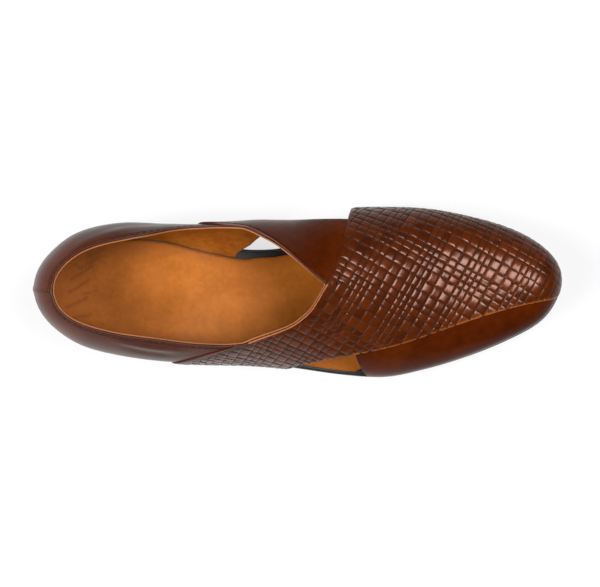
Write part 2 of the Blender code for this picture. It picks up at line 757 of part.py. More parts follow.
def main():
    for thing in list(bpy.data.objects):
        bpy.data.objects.remove(thing)
    parts, guides = new_collection("leather_sandal"), new_collection("guides")
    centre_on_floor([upper(parts, guides), insole(parts), midsole(parts), outsole(parts), heel(parts)])


main()
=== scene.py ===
"""Looks of the right-foot crossover sandal: leathers, weave, stitches, sole and a plain studio.

Each leather piece is a flat pattern, cut in the unrolled plane of the last and pulled over it.
The toe points along +X, the inner side of the foot is +Y, and the sole stands on z = 0.
"""
import math

import bpy
import numpy as np
from mathutils import Matrix, Vector
from mathutils.geometry import delaunay_2d_cdt


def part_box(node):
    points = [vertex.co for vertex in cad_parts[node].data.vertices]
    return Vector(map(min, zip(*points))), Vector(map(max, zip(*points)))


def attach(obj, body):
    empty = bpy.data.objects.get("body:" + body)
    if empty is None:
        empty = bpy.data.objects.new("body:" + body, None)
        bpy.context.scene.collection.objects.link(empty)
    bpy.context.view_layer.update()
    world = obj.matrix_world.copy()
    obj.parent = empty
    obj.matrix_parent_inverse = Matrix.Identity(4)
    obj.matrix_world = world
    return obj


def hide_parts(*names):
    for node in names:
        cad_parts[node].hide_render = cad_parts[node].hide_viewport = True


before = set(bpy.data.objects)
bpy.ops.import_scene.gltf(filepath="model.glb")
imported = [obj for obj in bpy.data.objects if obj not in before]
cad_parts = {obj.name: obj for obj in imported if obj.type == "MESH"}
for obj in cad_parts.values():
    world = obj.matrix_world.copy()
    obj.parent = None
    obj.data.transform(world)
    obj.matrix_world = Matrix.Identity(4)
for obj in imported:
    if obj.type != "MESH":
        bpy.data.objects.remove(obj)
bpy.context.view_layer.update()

MM = 0.001

# Sizes of the shoe, in metres
SOLE_LENGTH = 0.285
BALL_WIDTH = 0.092
INSTEP_HEIGHT = 0.075
HEEL_HEIGHT = 0.018
TOE_SPRING = 0.007
OUTSOLE = 0.0045
MIDSOLE = 0.003
INSOLE = 0.0025
WELT_MARGIN = 0.0048

# Inner and outer faces of the upper's leathers, counted from the last
LINING = (0.0000, 0.0008)
WALL = (0.0008, 0.0017)
WOVEN = (0.0015, 0.0025)
STRAP_THICKNESS = 0.0012
STRAP_RAISED = 0.0011
STRAP_FULL_AT = 0.41
STRAP_START_AT = 0.51
LINING_PROUD = 0.0004
TURNED_EDGE = 0.0004
HAIR_GAP = 0.0001
FAR_AWAY = 0.1

# Spacing of points, how far the filling points stay clear of the edges, and fineness of the last
EDGE_STEP = 0.0012
WALL_STEP = 0.0017
SOLE_STEP = 0.0018
CAP_STEP = 0.006
BED_STEP = 0.0013
BED_CLEAR = 0.0006
WEAVE_CLEAR = 0.00035
SAME_POINT = 0.0002
TURN_STEP = 1e-4
ARCH_STEPS = 32
TUCK_STEPS = 24
TUCK_END = 2.5
HALVINGS = 26
BEHIND_CROWN = -1e-6
CHUNK = 12000
FILL_CLEAR = 0.45
CAP_CLEAR = 0.4
LOOP_LENGTH = 2.2
FINE_TURNS = 2000
BREAST_TURNS = 400

# The crown line of the last, as shares of the sole's length from its middle
CROWN_BACK = -0.341
CROWN_FRONT = 0.420

# Sections of the last from heel to toe. Widths are shares of the ball width, heights are shares of
# the instep height, and full is the exponent of the arch between the widest line and the crown.
COLUMNS = ("along", "edge_in", "edge_out", "flare_in", "flare_out", "wide_in", "wide_out",
           "crown_side", "crown_up", "full_in", "full_out")
SECTIONS = (
    (0.00, 0.048, 0.048, 0.064, 0.064, 0.27, 0.27, 0.054, 1.00, 2.0, 2.0),
    (0.03, 0.234, -0.150, 0.076, 0.055, 0.27, 0.26, 0.054, 1.00, 2.0, 1.9),
    (0.08, 0.337, -0.257, 0.087, 0.054, 0.28, 0.25, 0.054, 1.00, 2.0, 1.7),
    (0.16, 0.391, -0.313, 0.087, 0.065, 0.30, 0.24, 0.055, 1.00, 2.0, 1.6),
    (0.24, 0.375, -0.340, 0.098, 0.071, 0.36, 0.23, 0.065, 0.99, 2.1, 1.6),
    (0.32, 0.313, -0.370, 0.161, 0.054, 0.42, 0.22, 0.075, 0.97, 2.2, 1.6),
    (0.40, 0.272, -0.402, 0.209, 0.032, 0.44, 0.21, 0.082, 0.93, 2.2, 1.6),
    (0.48, 0.293, -0.438, 0.199, 0.022, 0.42, 0.20, 0.087, 0.86, 2.1, 1.7),
    (0.58, 0.440, -0.483, 0.108, 0.021, 0.30, 0.18, 0.098, 0.74, 2.0, 1.8),
    (0.66, 0.498, -0.496, 0.055, 0.021, 0.21, 0.17, 0.095, 0.63, 2.0, 1.9),
    (0.74, 0.505, -0.448, 0.037, 0.020, 0.18, 0.16, 0.090, 0.53, 2.0, 2.0),
    (0.82, 0.462, -0.372, 0.035, 0.018, 0.16, 0.15, 0.087, 0.45, 2.1, 2.1),
    (0.90, 0.386, -0.269, 0.037, 0.017, 0.14, 0.14, 0.087, 0.385, 2.2, 2.2),
    (0.96, 0.293, -0.160, 0.028, 0.017, 0.13, 0.13, 0.087, 0.345, 2.2, 2.2),
    (1.00, 0.091, 0.091, 0.017, 0.017, 0.12, 0.12, 0.087, 0.32, 2.2, 2.2),
)

# Underside of the outsole: share of the sole's length, of the heel height and of the toe spring
SOLE_RISE = (
    (0.00, 1.00, 0.00),
    (0.14, 1.00, 0.00),
    (0.26, 0.93, 0.00),
    (0.34, 0.70, 0.00),
    (0.42, 0.36, 0.00),
    (0.50, 0.09, 0.00),
    (0.56, 0.00, 0.00),
    (0.76, 0.00, 0.00),
    (0.84, 0.00, 0.14),
    (0.92, 0.00, 0.48),
    (1.00, 0.00, 1.00),
)
HEEL_BREAST = 0.262
STRAP_FOOT = (0.286, 0.371)
WOVEN_STRAP_FOOT = (0.243, 0.457)
VAMP_FOOT = (1.0, 0.602)

# Edges of the patterns. Each row is a share of the length and a share of the girth from the crown,
# 0, down to the sole: plus is the inner side of the foot and minus the outer side.
SOLE_SIDE = 1.012
PAST_SOLE = 1.10
VAMP_BACK = ((VAMP_FOOT[1], SOLE_SIDE), (0.601, 0.85), (0.598, 0.68), (0.587, 0.474), (0.567, 0.255),
             (0.539, 0.10), (0.502, 0.0))
THROAT = ((0.502, 0.0), (0.493, -0.068), (0.480, -0.160), (0.454, -0.255), (0.426, -0.317),
          (0.400, -0.369), (0.375, -0.425), (0.333, -0.513), (0.299, -0.606), (0.269, -0.726),
          (0.250, -0.87), (WOVEN_STRAP_FOOT[0], -SOLE_SIDE))
STRAP_FRONT = ((WOVEN_STRAP_FOOT[1], -PAST_SOLE), (0.465, -0.85), (0.482, -0.70), (0.512, -0.60),
               (0.550, -0.53), (0.592, -0.495))
TOE_SEAM = ((0.592, -0.495), (0.625, -0.468), (0.659, -0.447), (0.703, -0.424), (0.787, -0.376),
            (0.839, -0.349), (0.887, -0.329), (0.945, -0.325), (0.982, -0.41), (0.995, -0.66),
            (1.0, -SOLE_SIDE))
TOE_SIDE_BACK = ((0.592, -0.495), (0.602, -0.59), (0.614, -0.692), (0.624, -0.825),
                 (0.628, -PAST_SOLE))
INSTEP_EDGE = ((0.502, 0.0), (0.480, 0.090), (0.459, 0.177), (0.433, 0.275), (0.409, 0.350),
               (0.388, 0.430))
STRAP_BACK = ((0.388, 0.430), (0.358, 0.500), (0.326, 0.580), (0.302, 0.680), (0.291, 0.82),
              (STRAP_FOOT[0], SOLE_SIDE))
WAIST_EDGE = ((STRAP_FOOT[1], PAST_SOLE), (0.374, 0.98), (0.394, 0.905), (0.422, 0.80), (0.460, 0.68),
              (0.500, 0.585), (0.540, 0.52), (0.588, 0.487))
VAMP_SIDE = ((0.588, 0.487), *VAMP_BACK[2:0:-1], (VAMP_FOOT[1], PAST_SOLE))
TOPLINE_IN = ((0.388, 0.430), (0.372, 0.480), (0.335, 0.530), (0.281, 0.548), (0.240, 0.520),
              (0.200, 0.475), (0.150, 0.449), (0.090, 0.438), (0.055, 0.440), (0.030, 0.434),
              (0.0135, 0.422), (0.004, 0.411), (0.000, 0.403))
TOPLINE_OUT = ((0.000, -0.403), (0.0045, -0.402), (0.014, -0.406), (0.030, -0.408), (0.060, -0.405),
               (0.114, -0.407), (0.164, -0.411), (0.203, -0.419), (0.244, -0.436), (0.285, -0.453),
               (0.330, -0.465), (0.366, -0.455))
THROAT_FREE = ((0.366, -0.455), (0.385, -0.403), *THROAT[5::-1])
STRAP_UNDER_VAMP = ((0.600, 0.480), (0.600, 0.36), (0.592, 0.20), (0.560, 0.06), (0.502, 0.0))
STRAP_LOW = ((STRAP_FOOT[1], SOLE_SIDE), *WAIST_EDGE[1:], (0.600, 0.480))

# Weave: strip widths along and across, three wide strips and then three narrow ones
WEAVE_TURN = math.radians(-30)
WEAVE_ALONG = (0.0054, 0.0054, 0.0054, 0.00333, 0.00334, 0.00333)
WEAVE_ACROSS = (0.0059, 0.0059, 0.0059, 0.0038, 0.0038, 0.0038)
WEAVE_RISE = 0.00036
WEAVE_DIVE = 0.85
WEAVE_TILT = 0.00010
GROOVE = 0.00030
GROOVE_LINES = (0.0, 0.00015, 0.00030)
TILE_LINES = (0.25, 0.5, 0.75)
END_SHADE = 0.7
WEAVE_SEED = 7


def column(name):
    """One named column of the section table, from heel to toe."""
    return np.array([row[COLUMNS.index(name)] for row in SECTIONS])


def hermite(knots, values, slopes, at):
    """Cubic through the knots with the given slopes."""
    index = np.clip(np.searchsorted(knots, at, side="right") - 1, 0, len(knots) - 2)
    step = knots[index + 1] - knots[index]
    u = (at - knots[index]) / step
    start = (1 + 2 * u) * (1 - u) ** 2 * values[index] + u * (1 - u) ** 2 * step * slopes[index]
    end = u * u * (3 - 2 * u) * values[index + 1] - u * u * (1 - u) * step * slopes[index + 1]
    return start + end


def around(inner, outer):
    """A smooth closed curve of one column pair over the turn: 0 at the heel, pi at the toe."""
    inner_knots = np.arccos(1 - 2 * column("along"))
    knots = np.concatenate([inner_knots, 2 * math.pi - inner_knots[-2::-1]])
    values = np.concatenate([column(inner), column(outer)[-2::-1]])
    steps = np.diff(knots)
    rises = np.diff(values) / steps
    before = np.roll(steps, 1)
    slopes = (np.roll(rises, 1) * steps + rises * before) / (before + steps)
    slopes = np.append(slopes, slopes[0])
    return lambda turn: hermite(knots, values, slopes, np.mod(turn, 2 * math.pi))


EDGE = around("edge_in", "edge_out")
FLARE = around("flare_in", "flare_out")
WIDE = around("wide_in", "wide_out")
CROWN_SIDE = around("crown_side", "crown_side")
CROWN_UP = around("crown_up", "crown_up")
FULL = around("full_in", "full_out")


def level(values, knots, at):
    """A curve that never overshoots its rows, so that level rows stay flat."""
    rises = np.diff(values) / np.diff(knots)
    slopes = np.zeros(len(values))
    product = rises[:-1] * rises[1:]
    same = product > 0
    slopes[1:-1][same] = 2 * product[same] / (rises[:-1] + rises[1:])[same]
    slopes[-1] = rises[-1]
    return hermite(knots, values, slopes, np.clip(at, knots[0], knots[-1]))


def share_along(x):
    """Places along the shoe as shares of the sole's length, from the heel."""
    return x / SOLE_LENGTH + 0.5


def sole_bottom(x):
    """Height of the outsole's underside."""
    knots, heel, toe = (np.array(values) for values in zip(*SOLE_RISE))
    along = share_along(x)
    return HEEL_HEIGHT * level(heel, knots, along) + TOE_SPRING * level(toe, knots, along)


def feather_height(x):
    """Height of the midsole's top, on which upper and insole stand."""
    return sole_bottom(x) + OUTSOLE + MIDSOLE


def turn_of(along, inner_side):
    """The turn around the sole at a share of its length."""
    turn = math.acos(1 - 2 * along)
    return turn if inner_side else 2 * math.pi - turn


def unit(rows):
    """Rows of vectors, each made one long."""
    return rows / np.linalg.norm(rows, axis=1, keepdims=True)


def sole_outline(turn, inset=0.0):
    """Points of the sole's edge, moved in by the inset, and the outward directions there."""
    def edge(at):
        return np.stack([-SOLE_LENGTH / 2 * np.cos(at), BALL_WIDTH * EDGE(at)], axis=-1)
    ahead = edge(turn + TURN_STEP) - edge(turn - TURN_STEP)
    outward = unit(np.stack([-ahead[:, 1], ahead[:, 0]], axis=-1))
    return edge(turn) - outward * inset, outward


def crown_line(turn):
    """Plan points of the last's crown, the middle of every section."""
    share = (1 - np.cos(turn)) / 2
    x = SOLE_LENGTH * (CROWN_BACK + (CROWN_FRONT - CROWN_BACK) * share)
    return np.stack([x, BALL_WIDTH * CROWN_SIDE(turn)], axis=-1)


# Steps down one section: 0 is the crown, 1 the widest line and 2 the feather line at the sole
DOWN = np.concatenate([np.linspace(0, 1, ARCH_STEPS + 1),
                       np.linspace(1, TUCK_END, TUCK_STEPS + 1)[1:]])
FEATHER_STEP = 2.0


def sections(turn):
    """Points of the last down each section, and the length of leather from the crown to them."""
    feather, outward = sole_outline(turn, WELT_MARGIN)
    wide = feather + outward * (BALL_WIDTH * FLARE(turn))[:, None]
    crown = crown_line(turn)
    low = feather_height(feather[:, 0])[:, None]
    middle = low + INSTEP_HEIGHT * WIDE(turn)[:, None]
    top = low + INSTEP_HEIGHT * CROWN_UP(turn)[:, None]
    power = 2 / FULL(turn)[:, None]
    angle = np.clip(DOWN, 0, 1)[None, :] * math.pi / 2
    tuck = np.clip(DOWN - 1, 0, None)[None, :]
    out = np.sin(angle) ** power
    plan = crown[:, None] + (wide - crown)[:, None] * out[..., None]
    plan = plan + (feather - wide)[:, None] * (tuck ** 2)[..., None]
    arch = np.clip(np.cos(angle), 0, 1) ** power * (DOWN < 1)
    height = middle + (top - middle) * arch + (low - middle) * tuck
    points = np.concatenate([plan, height[..., None]], axis=-1)
    steps = np.linalg.norm(np.diff(points, axis=1), axis=2)
    reach = np.concatenate([np.zeros((len(turn), 1)), np.cumsum(steps, axis=1)], axis=1)
    return points, reach


def spread(turn):
    """Direction in plan in which each section leaves the crown line."""
    feather, outward = sole_outline(turn, WELT_MARGIN)
    return unit(feather + outward * (BALL_WIDTH * FLARE(turn))[:, None] - crown_line(turn))


def read(table, rows, at):
    """Value of every row of a rising table at its own place."""
    return np.array([np.interp(place, table[row], rows[row]) for row, place in enumerate(at)])


def unroll(rows):
    """Places on the last, as shares of length and girth, in the unrolled plane of the pattern."""
    turn = np.array([turn_of(along, girth > 0) for along, girth in rows])
    _, reach = sections(turn)
    full = np.array([np.interp(FEATHER_STEP, DOWN, row) for row in reach])
    girth = np.abs([girth for _, girth in rows]) * full
    return crown_line(turn) + spread(turn) * girth[:, None]


def sideways(away, way):
    """How far places lie to the side of a direction, plus to its right."""
    return away[:, 0] * way[:, 1] - away[:, 1] * way[:, 0]


def turn_at(flat):
    """The section that passes through each point of the unrolled plane."""
    sides = []
    for start in (0.0, math.pi):
        low = np.full(len(flat), start)
        high = low + math.pi
        for _ in range(HALVINGS):
            middle = (low + high) / 2
            ahead = sideways(flat - crown_line(middle), spread(middle)) > 0
            low = np.where(ahead, middle, low)
            high = np.where(ahead, high, middle)
        away, way = flat - crown_line(low), spread(low)
        reach = np.sum(away * way, axis=1)
        sides.append((low, reach, np.where(reach > BEHIND_CROWN, np.abs(sideways(away, way)), np.inf)))
    inner, outer = sides
    pick = outer[2] < inner[2]
    return np.where(pick, outer[0], inner[0]), np.maximum(np.where(pick, outer[1], inner[1]), 0)


def over_last(flat):
    """Pull points of the unrolled plane over the last. Also gives their share of the girth."""
    found = []
    for start in range(0, len(flat), CHUNK):
        turn, reach = turn_at(flat[start:start + CHUNK])
        points, lengths = sections(turn)
        place = [read(lengths, points[:, :, axis], reach) for axis in range(3)]
        full = np.array([np.interp(FEATHER_STEP, DOWN, row) for row in lengths])
        found.append(np.stack([*place, reach / full], axis=-1))
    found = np.concatenate(found)
    return found[:, :3], found[:, 3]


def smooth(rows):
    """A pattern edge through the given places, as a line of points."""
    knots = unroll(rows)
    before = np.vstack([2 * knots[0] - knots[1], knots[:-1]])
    after = np.vstack([knots[1:], 2 * knots[-1] - knots[-2]])
    slopes = (after - before) / 2
    points = [knots[0]]
    for i in range(len(knots) - 1):
        count = max(1, round(np.linalg.norm(knots[i + 1] - knots[i]) / EDGE_STEP))
        for u in np.arange(1, count + 1) / count:
            start = (1 + 2 * u) * (1 - u) ** 2 * knots[i] + u * (1 - u) ** 2 * slopes[i]
            end = u * u * (3 - 2 * u) * knots[i + 1] - u * u * (1 - u) * slopes[i + 1]
            points.append(start + end)
    return np.array(points)


def along_sole(start, end, inner_side):
    """The lasted margin of a pattern, along the sole from one share of its length to another."""
    first, last = turn_of(start, inner_side), turn_of(end, inner_side)
    count = max(2, round(abs(end - start) * SOLE_LENGTH / EDGE_STEP))
    turns = np.linspace(first, last, count)
    side = SOLE_SIDE if inner_side else -SOLE_SIDE
    return unroll([(share, side) for share in (1 - np.cos(turns)) / 2])


def join(*edges):
    """One closed loop from edges that follow each other, as tables or as lines of points."""
    lines = [smooth(edge) if isinstance(edge, tuple) else edge for edge in edges]
    points = np.concatenate([line[:-1] for line in lines])
    apart = np.linalg.norm(points - np.roll(points, 1, axis=0), axis=1) > SAME_POINT
    return points[apart]


def turning(loop):
    """Plus one for a loop that runs anticlockwise and minus one for a clockwise one."""
    ahead = np.roll(loop, -1, axis=0)
    return math.copysign(1, np.sum(loop[:, 0] * ahead[:, 1] - loop[:, 1] * ahead[:, 0]))


def grow(loop, distance):
    """Move a loop outwards in the unrolled plane."""
    ahead = np.roll(loop, -1, axis=0) - np.roll(loop, 1, axis=0)
    outward = unit(np.stack([ahead[:, 1], -ahead[:, 0]], axis=1))
    return loop + outward * distance * turning(loop)


def inside(points, loop):
    """Which points lie inside a closed loop."""
    within = np.zeros(len(points), bool)
    for (ax, ay), (bx, by) in zip(loop, np.roll(loop, -1, axis=0)):
        if ay != by:
            at = ax + (points[:, 1] - ay) * (bx - ax) / (by - ay)
            within ^= ((ay > points[:, 1]) != (by > points[:, 1])) & (points[:, 0] < at)
    return within


def far_from(points, line, closed=True):
    """Distance of points from a line or closed loop in the unrolled plane."""
    nearest = np.full(len(points), np.inf)
    ends = np.roll(line, -1, axis=0) if closed else line[1:]
    for start, end in zip(line, ends):
        way = end - start
        share = np.clip((points - start) @ way / (way @ way), 0, 1)
        nearest = np.minimum(nearest, np.linalg.norm(points - start - share[:, None] * way, axis=1))
    return nearest


def fill_points(loop, step):
    """Staggered points over the box of a loop."""
    low, high = loop.min(axis=0), loop.max(axis=0)
    rows = np.arange(low[1], high[1], step * math.sqrt(3) / 2)
    return np.array([(x + step / 2 * (i % 2), y) for i, y in enumerate(rows)
                     for x in np.arange(low[0], high[0], step)])


def cut_flat(outline, holes, fill, clear):
    """Cut a flat pattern: its points, its triangles, and the numbers of the points of each edge."""
    loops = [outline[::int(turning(outline))]] + [hole[::-int(turning(hole))] for hole in holes]
    keep = inside(fill, outline) & (far_from(fill, outline) > clear)
    for hole in holes:
        keep &= ~inside(fill, hole) & (far_from(fill, hole) > clear)
    points = np.concatenate([*loops, fill[keep]])
    rims, start = [], 0
    for loop in loops:
        rims.append(np.arange(start, start + len(loop)))
        start += len(loop)
    edges = [(int(a), int(b)) for rim in rims for a, b in zip(rim, np.roll(rim, -1))]
    found, _, faces, *_ = delaunay_2d_cdt([Vector(point) for point in points], edges, [], 0, 1e-7)
    flat = np.array([tuple(point) for point in found])
    faces = np.array([face for face in faces if len(face) == 3])
    middles = flat[faces].mean(axis=1)
    kept = inside(middles, outline)
    for hole in holes:
        kept &= ~inside(middles, hole)
    return flat, faces[kept], rims


def normals_of(points, faces):
    """Smooth outward directions of a surface at its points."""
    corners = points[faces]
    across = np.cross(corners[:, 1] - corners[:, 0], corners[:, 2] - corners[:, 0])
    total = np.zeros_like(points)
    for corner in range(3):
        np.add.at(total, faces[:, corner], across)
    length = np.linalg.norm(total, axis=1, keepdims=True)
    return total / np.where(length > 0, length, 1)


def shift_to_part():
    """The move that brings the shoe, drawn around its sole's middle, to the part's own place."""
    low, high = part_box("outsole")
    widest = sole_outline(np.linspace(0, math.pi, FINE_TURNS))[0][:, 1].max()
    return np.array([(low.x + high.x) / 2, high.y - widest, 0.0])


SHIFT = shift_to_part()


def make_piece(name, points, faces, surfaces, slots=None, **facts):
    """A piece of the shoe that rides on its body. Facts are values on its points for the shader."""
    mesh = bpy.data.meshes.new(name)
    faces = [list(map(int, face)) for face in faces]
    mesh.from_pydata((np.asarray(points) + SHIFT).tolist(), [], faces)
    for surface in surfaces:
        mesh.materials.append(surface)
    if slots is not None:
        mesh.polygons.foreach_set("material_index", np.asarray(slots, dtype=np.int32))
    for fact, values in facts.items():
        attribute = mesh.attributes.new(fact, "FLOAT", "POINT")
        attribute.data.foreach_set("value", np.asarray(values, np.float32))
    mesh.shade_smooth()
    thing = bpy.data.objects.new(name, mesh)
    bpy.context.scene.collection.objects.link(thing)
    return thing


def bands(rings):
    """Four-sided faces between closed rings of point numbers that follow each other."""
    faces = []
    for ring, after in zip(rings, rings[1:]):
        faces += list(zip(ring, after, np.roll(after, -1), np.roll(ring, -1)))
    return faces


# Steps of a rounded edge, from the upper face to the lower one
EDGE_ANGLES = [math.pi * share for share in (0.12, 0.3, 0.5, 0.7, 0.88, 1.0)]


def edge_rings(top, low, normals, rim, bulge, first):
    """Points that round a cut edge from the upper face to the lower one, and the faces there."""
    ahead = top[np.roll(rim, -1)] - top[np.roll(rim, 1)]
    outward = unit(np.cross(ahead, normals[rim]))
    rings = [rim]
    points = []
    for angle in EDGE_ANGLES:
        mix = (1 - math.cos(angle)) / 2
        points.append(top[rim] * (1 - mix) + low[rim] * mix + outward * bulge * math.sin(angle))
        rings.append(first + np.arange(len(rim)))
        first += len(rim)
    return np.concatenate(points), bands(rings)


# How far the rounded edges of a leather bulge
EDGE_BULGE = 0.00015
WALL_BULGE = 0.00025


def leather_piece(name, cut, spans, surfaces, show_inner=False, bulge=EDGE_BULGE, relief=None,
                  edge_slot=1, **facts):
    """A pattern pulled over the last, with a thickness and rounded edges."""
    flat, faces, rims = cut
    edge_slot = np.broadcast_to(edge_slot, len(flat))
    points, _ = over_last(flat)
    normals = normals_of(points, faces)
    low, high = (np.broadcast_to(span, len(flat))[:, None] for span in spans)
    top = points + normals * high
    if relief is not None:
        top = top + normals * relief[:, None]
    bottom = points + normals * low
    shown, hidden = (bottom, top) if show_inner else (top, bottom)
    all_points = [shown]
    all_faces = [tuple(face) for face in faces]
    slots = [0] * len(faces)
    sources = [np.arange(len(flat))]
    first = len(flat)
    for rim in rims:
        ring_points, ring_faces = edge_rings(shown, hidden, normals, rim, bulge, first)
        all_points.append(ring_points)
        all_faces += ring_faces
        slots += list(edge_slot[rim]) * len(EDGE_ANGLES)
        sources += [rim] * len(EDGE_ANGLES)
        first += len(ring_points)
    if show_inner:
        all_faces = [face[::-1] for face in all_faces]
    source = np.concatenate(sources)
    values = {fact: np.asarray(row)[source] for fact, row in facts.items()}
    return make_piece(name, np.concatenate(all_points), all_faces, surfaces, slots, **values)


def smoothstep(values, start, end):
    """A soft step from 0 to 1."""
    share = np.clip((values - start) / (end - start), 0, 1)
    return share * share * (3 - 2 * share)


# ---- shader tools ----


class Value:
    """An output of a node. Sums and products of it add Math nodes."""

    def __init__(self, paint, output):
        self.paint = paint
        self.output = output

    def math(self, operation, first, second=0.0):
        return self.paint.node("ShaderNodeMath", {"operation": operation}, {0: first, 1: second})

    def __add__(self, other):
        return self.math("ADD", self, other)

    def __sub__(self, other):
        return self.math("SUBTRACT", self, other)

    def __rsub__(self, other):
        return self.math("SUBTRACT", other, self)

    def __mul__(self, other):
        return self.math("MULTIPLY", self, other)

    def __abs__(self):
        return self.math("ABSOLUTE", self)

    __radd__ = __add__
    __rmul__ = __mul__


class Paint:
    """A material, made of nodes that are added one call at a time."""

    def __init__(self, name, **constants):
        self.material = bpy.data.materials.new(name)
        self.material.use_nodes = True
        self.tree = self.material.node_tree
        self.shader = self.tree.nodes["Principled BSDF"]
        self.place = self.node("ShaderNodeTexCoord", output="Object")
        for socket, value in constants.items():
            self.shader.inputs[socket.replace("_", " ")].default_value = value

    def node(self, kind, settings=(), values=(), output=0):
        """Add a node. Settings come first, then the values or links of its sockets."""
        made = self.tree.nodes.new(kind)
        for key, value in dict(settings).items():
            setattr(made, key, value)
        for key, value in dict(values).items():
            self.feed(made.inputs[key], value)
        return Value(self, made.outputs[output])

    def feed(self, socket, value):
        """Link or set one socket."""
        if isinstance(value, Value):
            self.tree.links.new(value.output, socket)
        elif socket.type == "RGBA":
            socket.default_value = (*value, 1.0)
        else:
            socket.default_value = value

    def fact(self, name):
        """A value that the mesh carries on its points."""
        return self.node("ShaderNodeAttribute", {"attribute_name": name}, output="Fac")

    def noise(self, size, detail=2.0, roughness=0.5, place=None):
        """Clouds whose lumps are about as large as the size, from 0 to 1."""
        return self.node("ShaderNodeTexNoise", {}, {"Vector": place or self.place, "Scale": 1 / size,
                                                    "Detail": detail, "Roughness": roughness})

    def cells(self, size):
        """Distance from the middles of small rounded cells."""
        return self.node("ShaderNodeTexVoronoi", {"feature": "SMOOTH_F1"},
                         {"Vector": self.place, "Scale": 1 / size}, output="Distance")

    def step(self, value, start, end):
        """A soft step from 0 to 1."""
        return self.node("ShaderNodeMapRange", {"interpolation_type": "SMOOTHSTEP"},
                         {"Value": value, "From Min": start, "From Max": end})

    def mix(self, share, first, second):
        """A colour between two."""
        return self.node("ShaderNodeMix", {"data_type": "RGBA"},
                         {0: share, 6: first, 7: second}, output=2)

    def layered(self, squeeze):
        """Places squeezed upwards, so that what is drawn on them lies in level layers."""
        return self.node("ShaderNodeMapping", {},
                         {"Vector": self.place, "Scale": (1.0, 1.0, squeeze)})

    def finish(self, colour, roughness, height):
        """Feed the shader. The height is in metres."""
        self.feed(self.shader.inputs["Base Color"], colour)
        self.feed(self.shader.inputs["Roughness"], roughness)
        bump = self.node("ShaderNodeBump", {}, {"Height": height, "Distance": 1.0})
        self.feed(self.shader.inputs["Normal"], bump)
        return self.material


# ---- finishes ----

# Tint of the gloss on the brown leathers
WARM_SHEEN = (1.0, 0.66, 0.55, 1.0)

# The stitch line's distance from the collar's edge, and half the width of its channel
STITCH_LINE = 0.0023
STITCH_CHANNEL = 0.00065


def polished_leather():
    """Plain glossy red-brown leather with a fine grain, darker at turned edges, with painted shade in the
    stitch channel and in the back seam's crease.
    """
    paint = Paint("polished_leather", Specular_IOR_Level=0.05, Specular_Tint=WARM_SHEEN)
    cloud = paint.noise(0.030, 3.0)
    mottle = paint.noise(0.005, 4.0, 0.6)
    tone = paint.step(cloud * 0.6 + mottle * 0.4, 0.30, 0.72)
    colour = paint.mix(tone, (0.018, 0.0026, 0.0003), (0.034, 0.0057, 0.0006))
    edge = paint.fact("edge")
    worn = (1 - paint.step(edge, 0.0, 1.6 * MM)) * 0.55
    colour = paint.mix(worn, colour, (0.010, 0.0016, 0.0003))
    # Painted shade in the stitch channel: it is painted near-black and also sunk.
    collar = paint.fact("collar")
    line = 1 - paint.step(abs(collar - STITCH_LINE), 0.0, STITCH_CHANNEL)
    colour = paint.mix(line * 0.85, colour, (0.004, 0.0009, 0.0003))
    # Painted shade in the back seam's crease: it is painted near-black and also sunk.
    seam = paint.fact("seam")
    crease = 1 - paint.step(seam, 0.0, 0.8 * MM)
    colour = paint.mix(crease * 0.95, colour, (0.002, 0.0006, 0.0003))
    pebble = paint.cells(0.0011)
    pores = paint.noise(0.0004, 2.0)
    grain = pebble * (0.022 * MM) + pores * (0.012 * MM) + mottle * (0.05 * MM)
    height = grain - line * (0.30 * MM) - crease * (0.35 * MM)
    return paint.finish(colour, 0.22 + 0.06 * mottle + 0.08 * worn, height)


def woven_leather():
    """The embossed weave: glossy tiles, dull grooves with painted shade, painted shade along the strap's
    border, and a raw edge along the toe seam, partly a painted highlight.
    """
    paint = Paint("woven_leather", Specular_IOR_Level=0.22, Specular_Tint=WARM_SHEEN)
    high = paint.step(paint.fact("rise"), 0.45, 1.0)
    tile = paint.fact("tile")
    cloud = paint.noise(0.024, 3.0)
    mottle = paint.noise(0.0035, 4.0, 0.6)
    tone = paint.step(cloud * 0.45 + mottle * 0.3 + tile * 0.25, 0.28, 0.72)
    colour = paint.mix(tone, (0.018, 0.0027, 0.0002), (0.035, 0.0060, 0.0005))
    # Painted shade along the strap's turned border, where it stands up from the quarter.
    colour = paint.mix(paint.fact("border") * 0.8, colour, (0.006, 0.0011, 0.0002))
    # The raw edge's own lighter colour along the toe seam, laid on the top face, partly also a painted
    # highlight.
    colour = paint.mix(paint.fact("raw"), colour, (0.110, 0.032, 0.0060))
    # Painted shade in the grooves: below the tiles' tops the colour goes near-black.
    colour = paint.mix(high, (0.003, 0.0007, 0.0002), colour)
    pebble = paint.cells(0.0010)
    pores = paint.noise(0.0004, 2.0)
    height = pebble * (0.014 * MM) + pores * (0.008 * MM) + mottle * (0.012 * MM)
    return paint.finish(colour, 0.23 + 0.06 * mottle + 0.45 * (1 - high), height)


def tan_lining():
    """Smooth tan calf lining, seen inside the quarter."""
    paint = Paint("tan_lining", Specular_IOR_Level=0.05)
    cloud = paint.noise(0.020, 3.0)
    mottle = paint.noise(0.0025, 4.0, 0.65)
    tone = paint.step(cloud * 0.6 + mottle * 0.4, 0.30, 0.70)
    colour = paint.mix(tone, (0.100, 0.024, 0.0020), (0.170, 0.050, 0.0060))
    # A darker band just below the lining's cut edge.
    line = 1 - paint.step(paint.fact("edge"), 0.3 * MM, 1.3 * MM)
    colour = paint.mix(line * 0.8, colour, (0.030, 0.0075, 0.0015))
    pores = paint.noise(0.0005, 2.0)
    return paint.finish(colour, 0.48 + 0.12 * mottle, mottle * (0.05 * MM) + pores * (0.02 * MM))


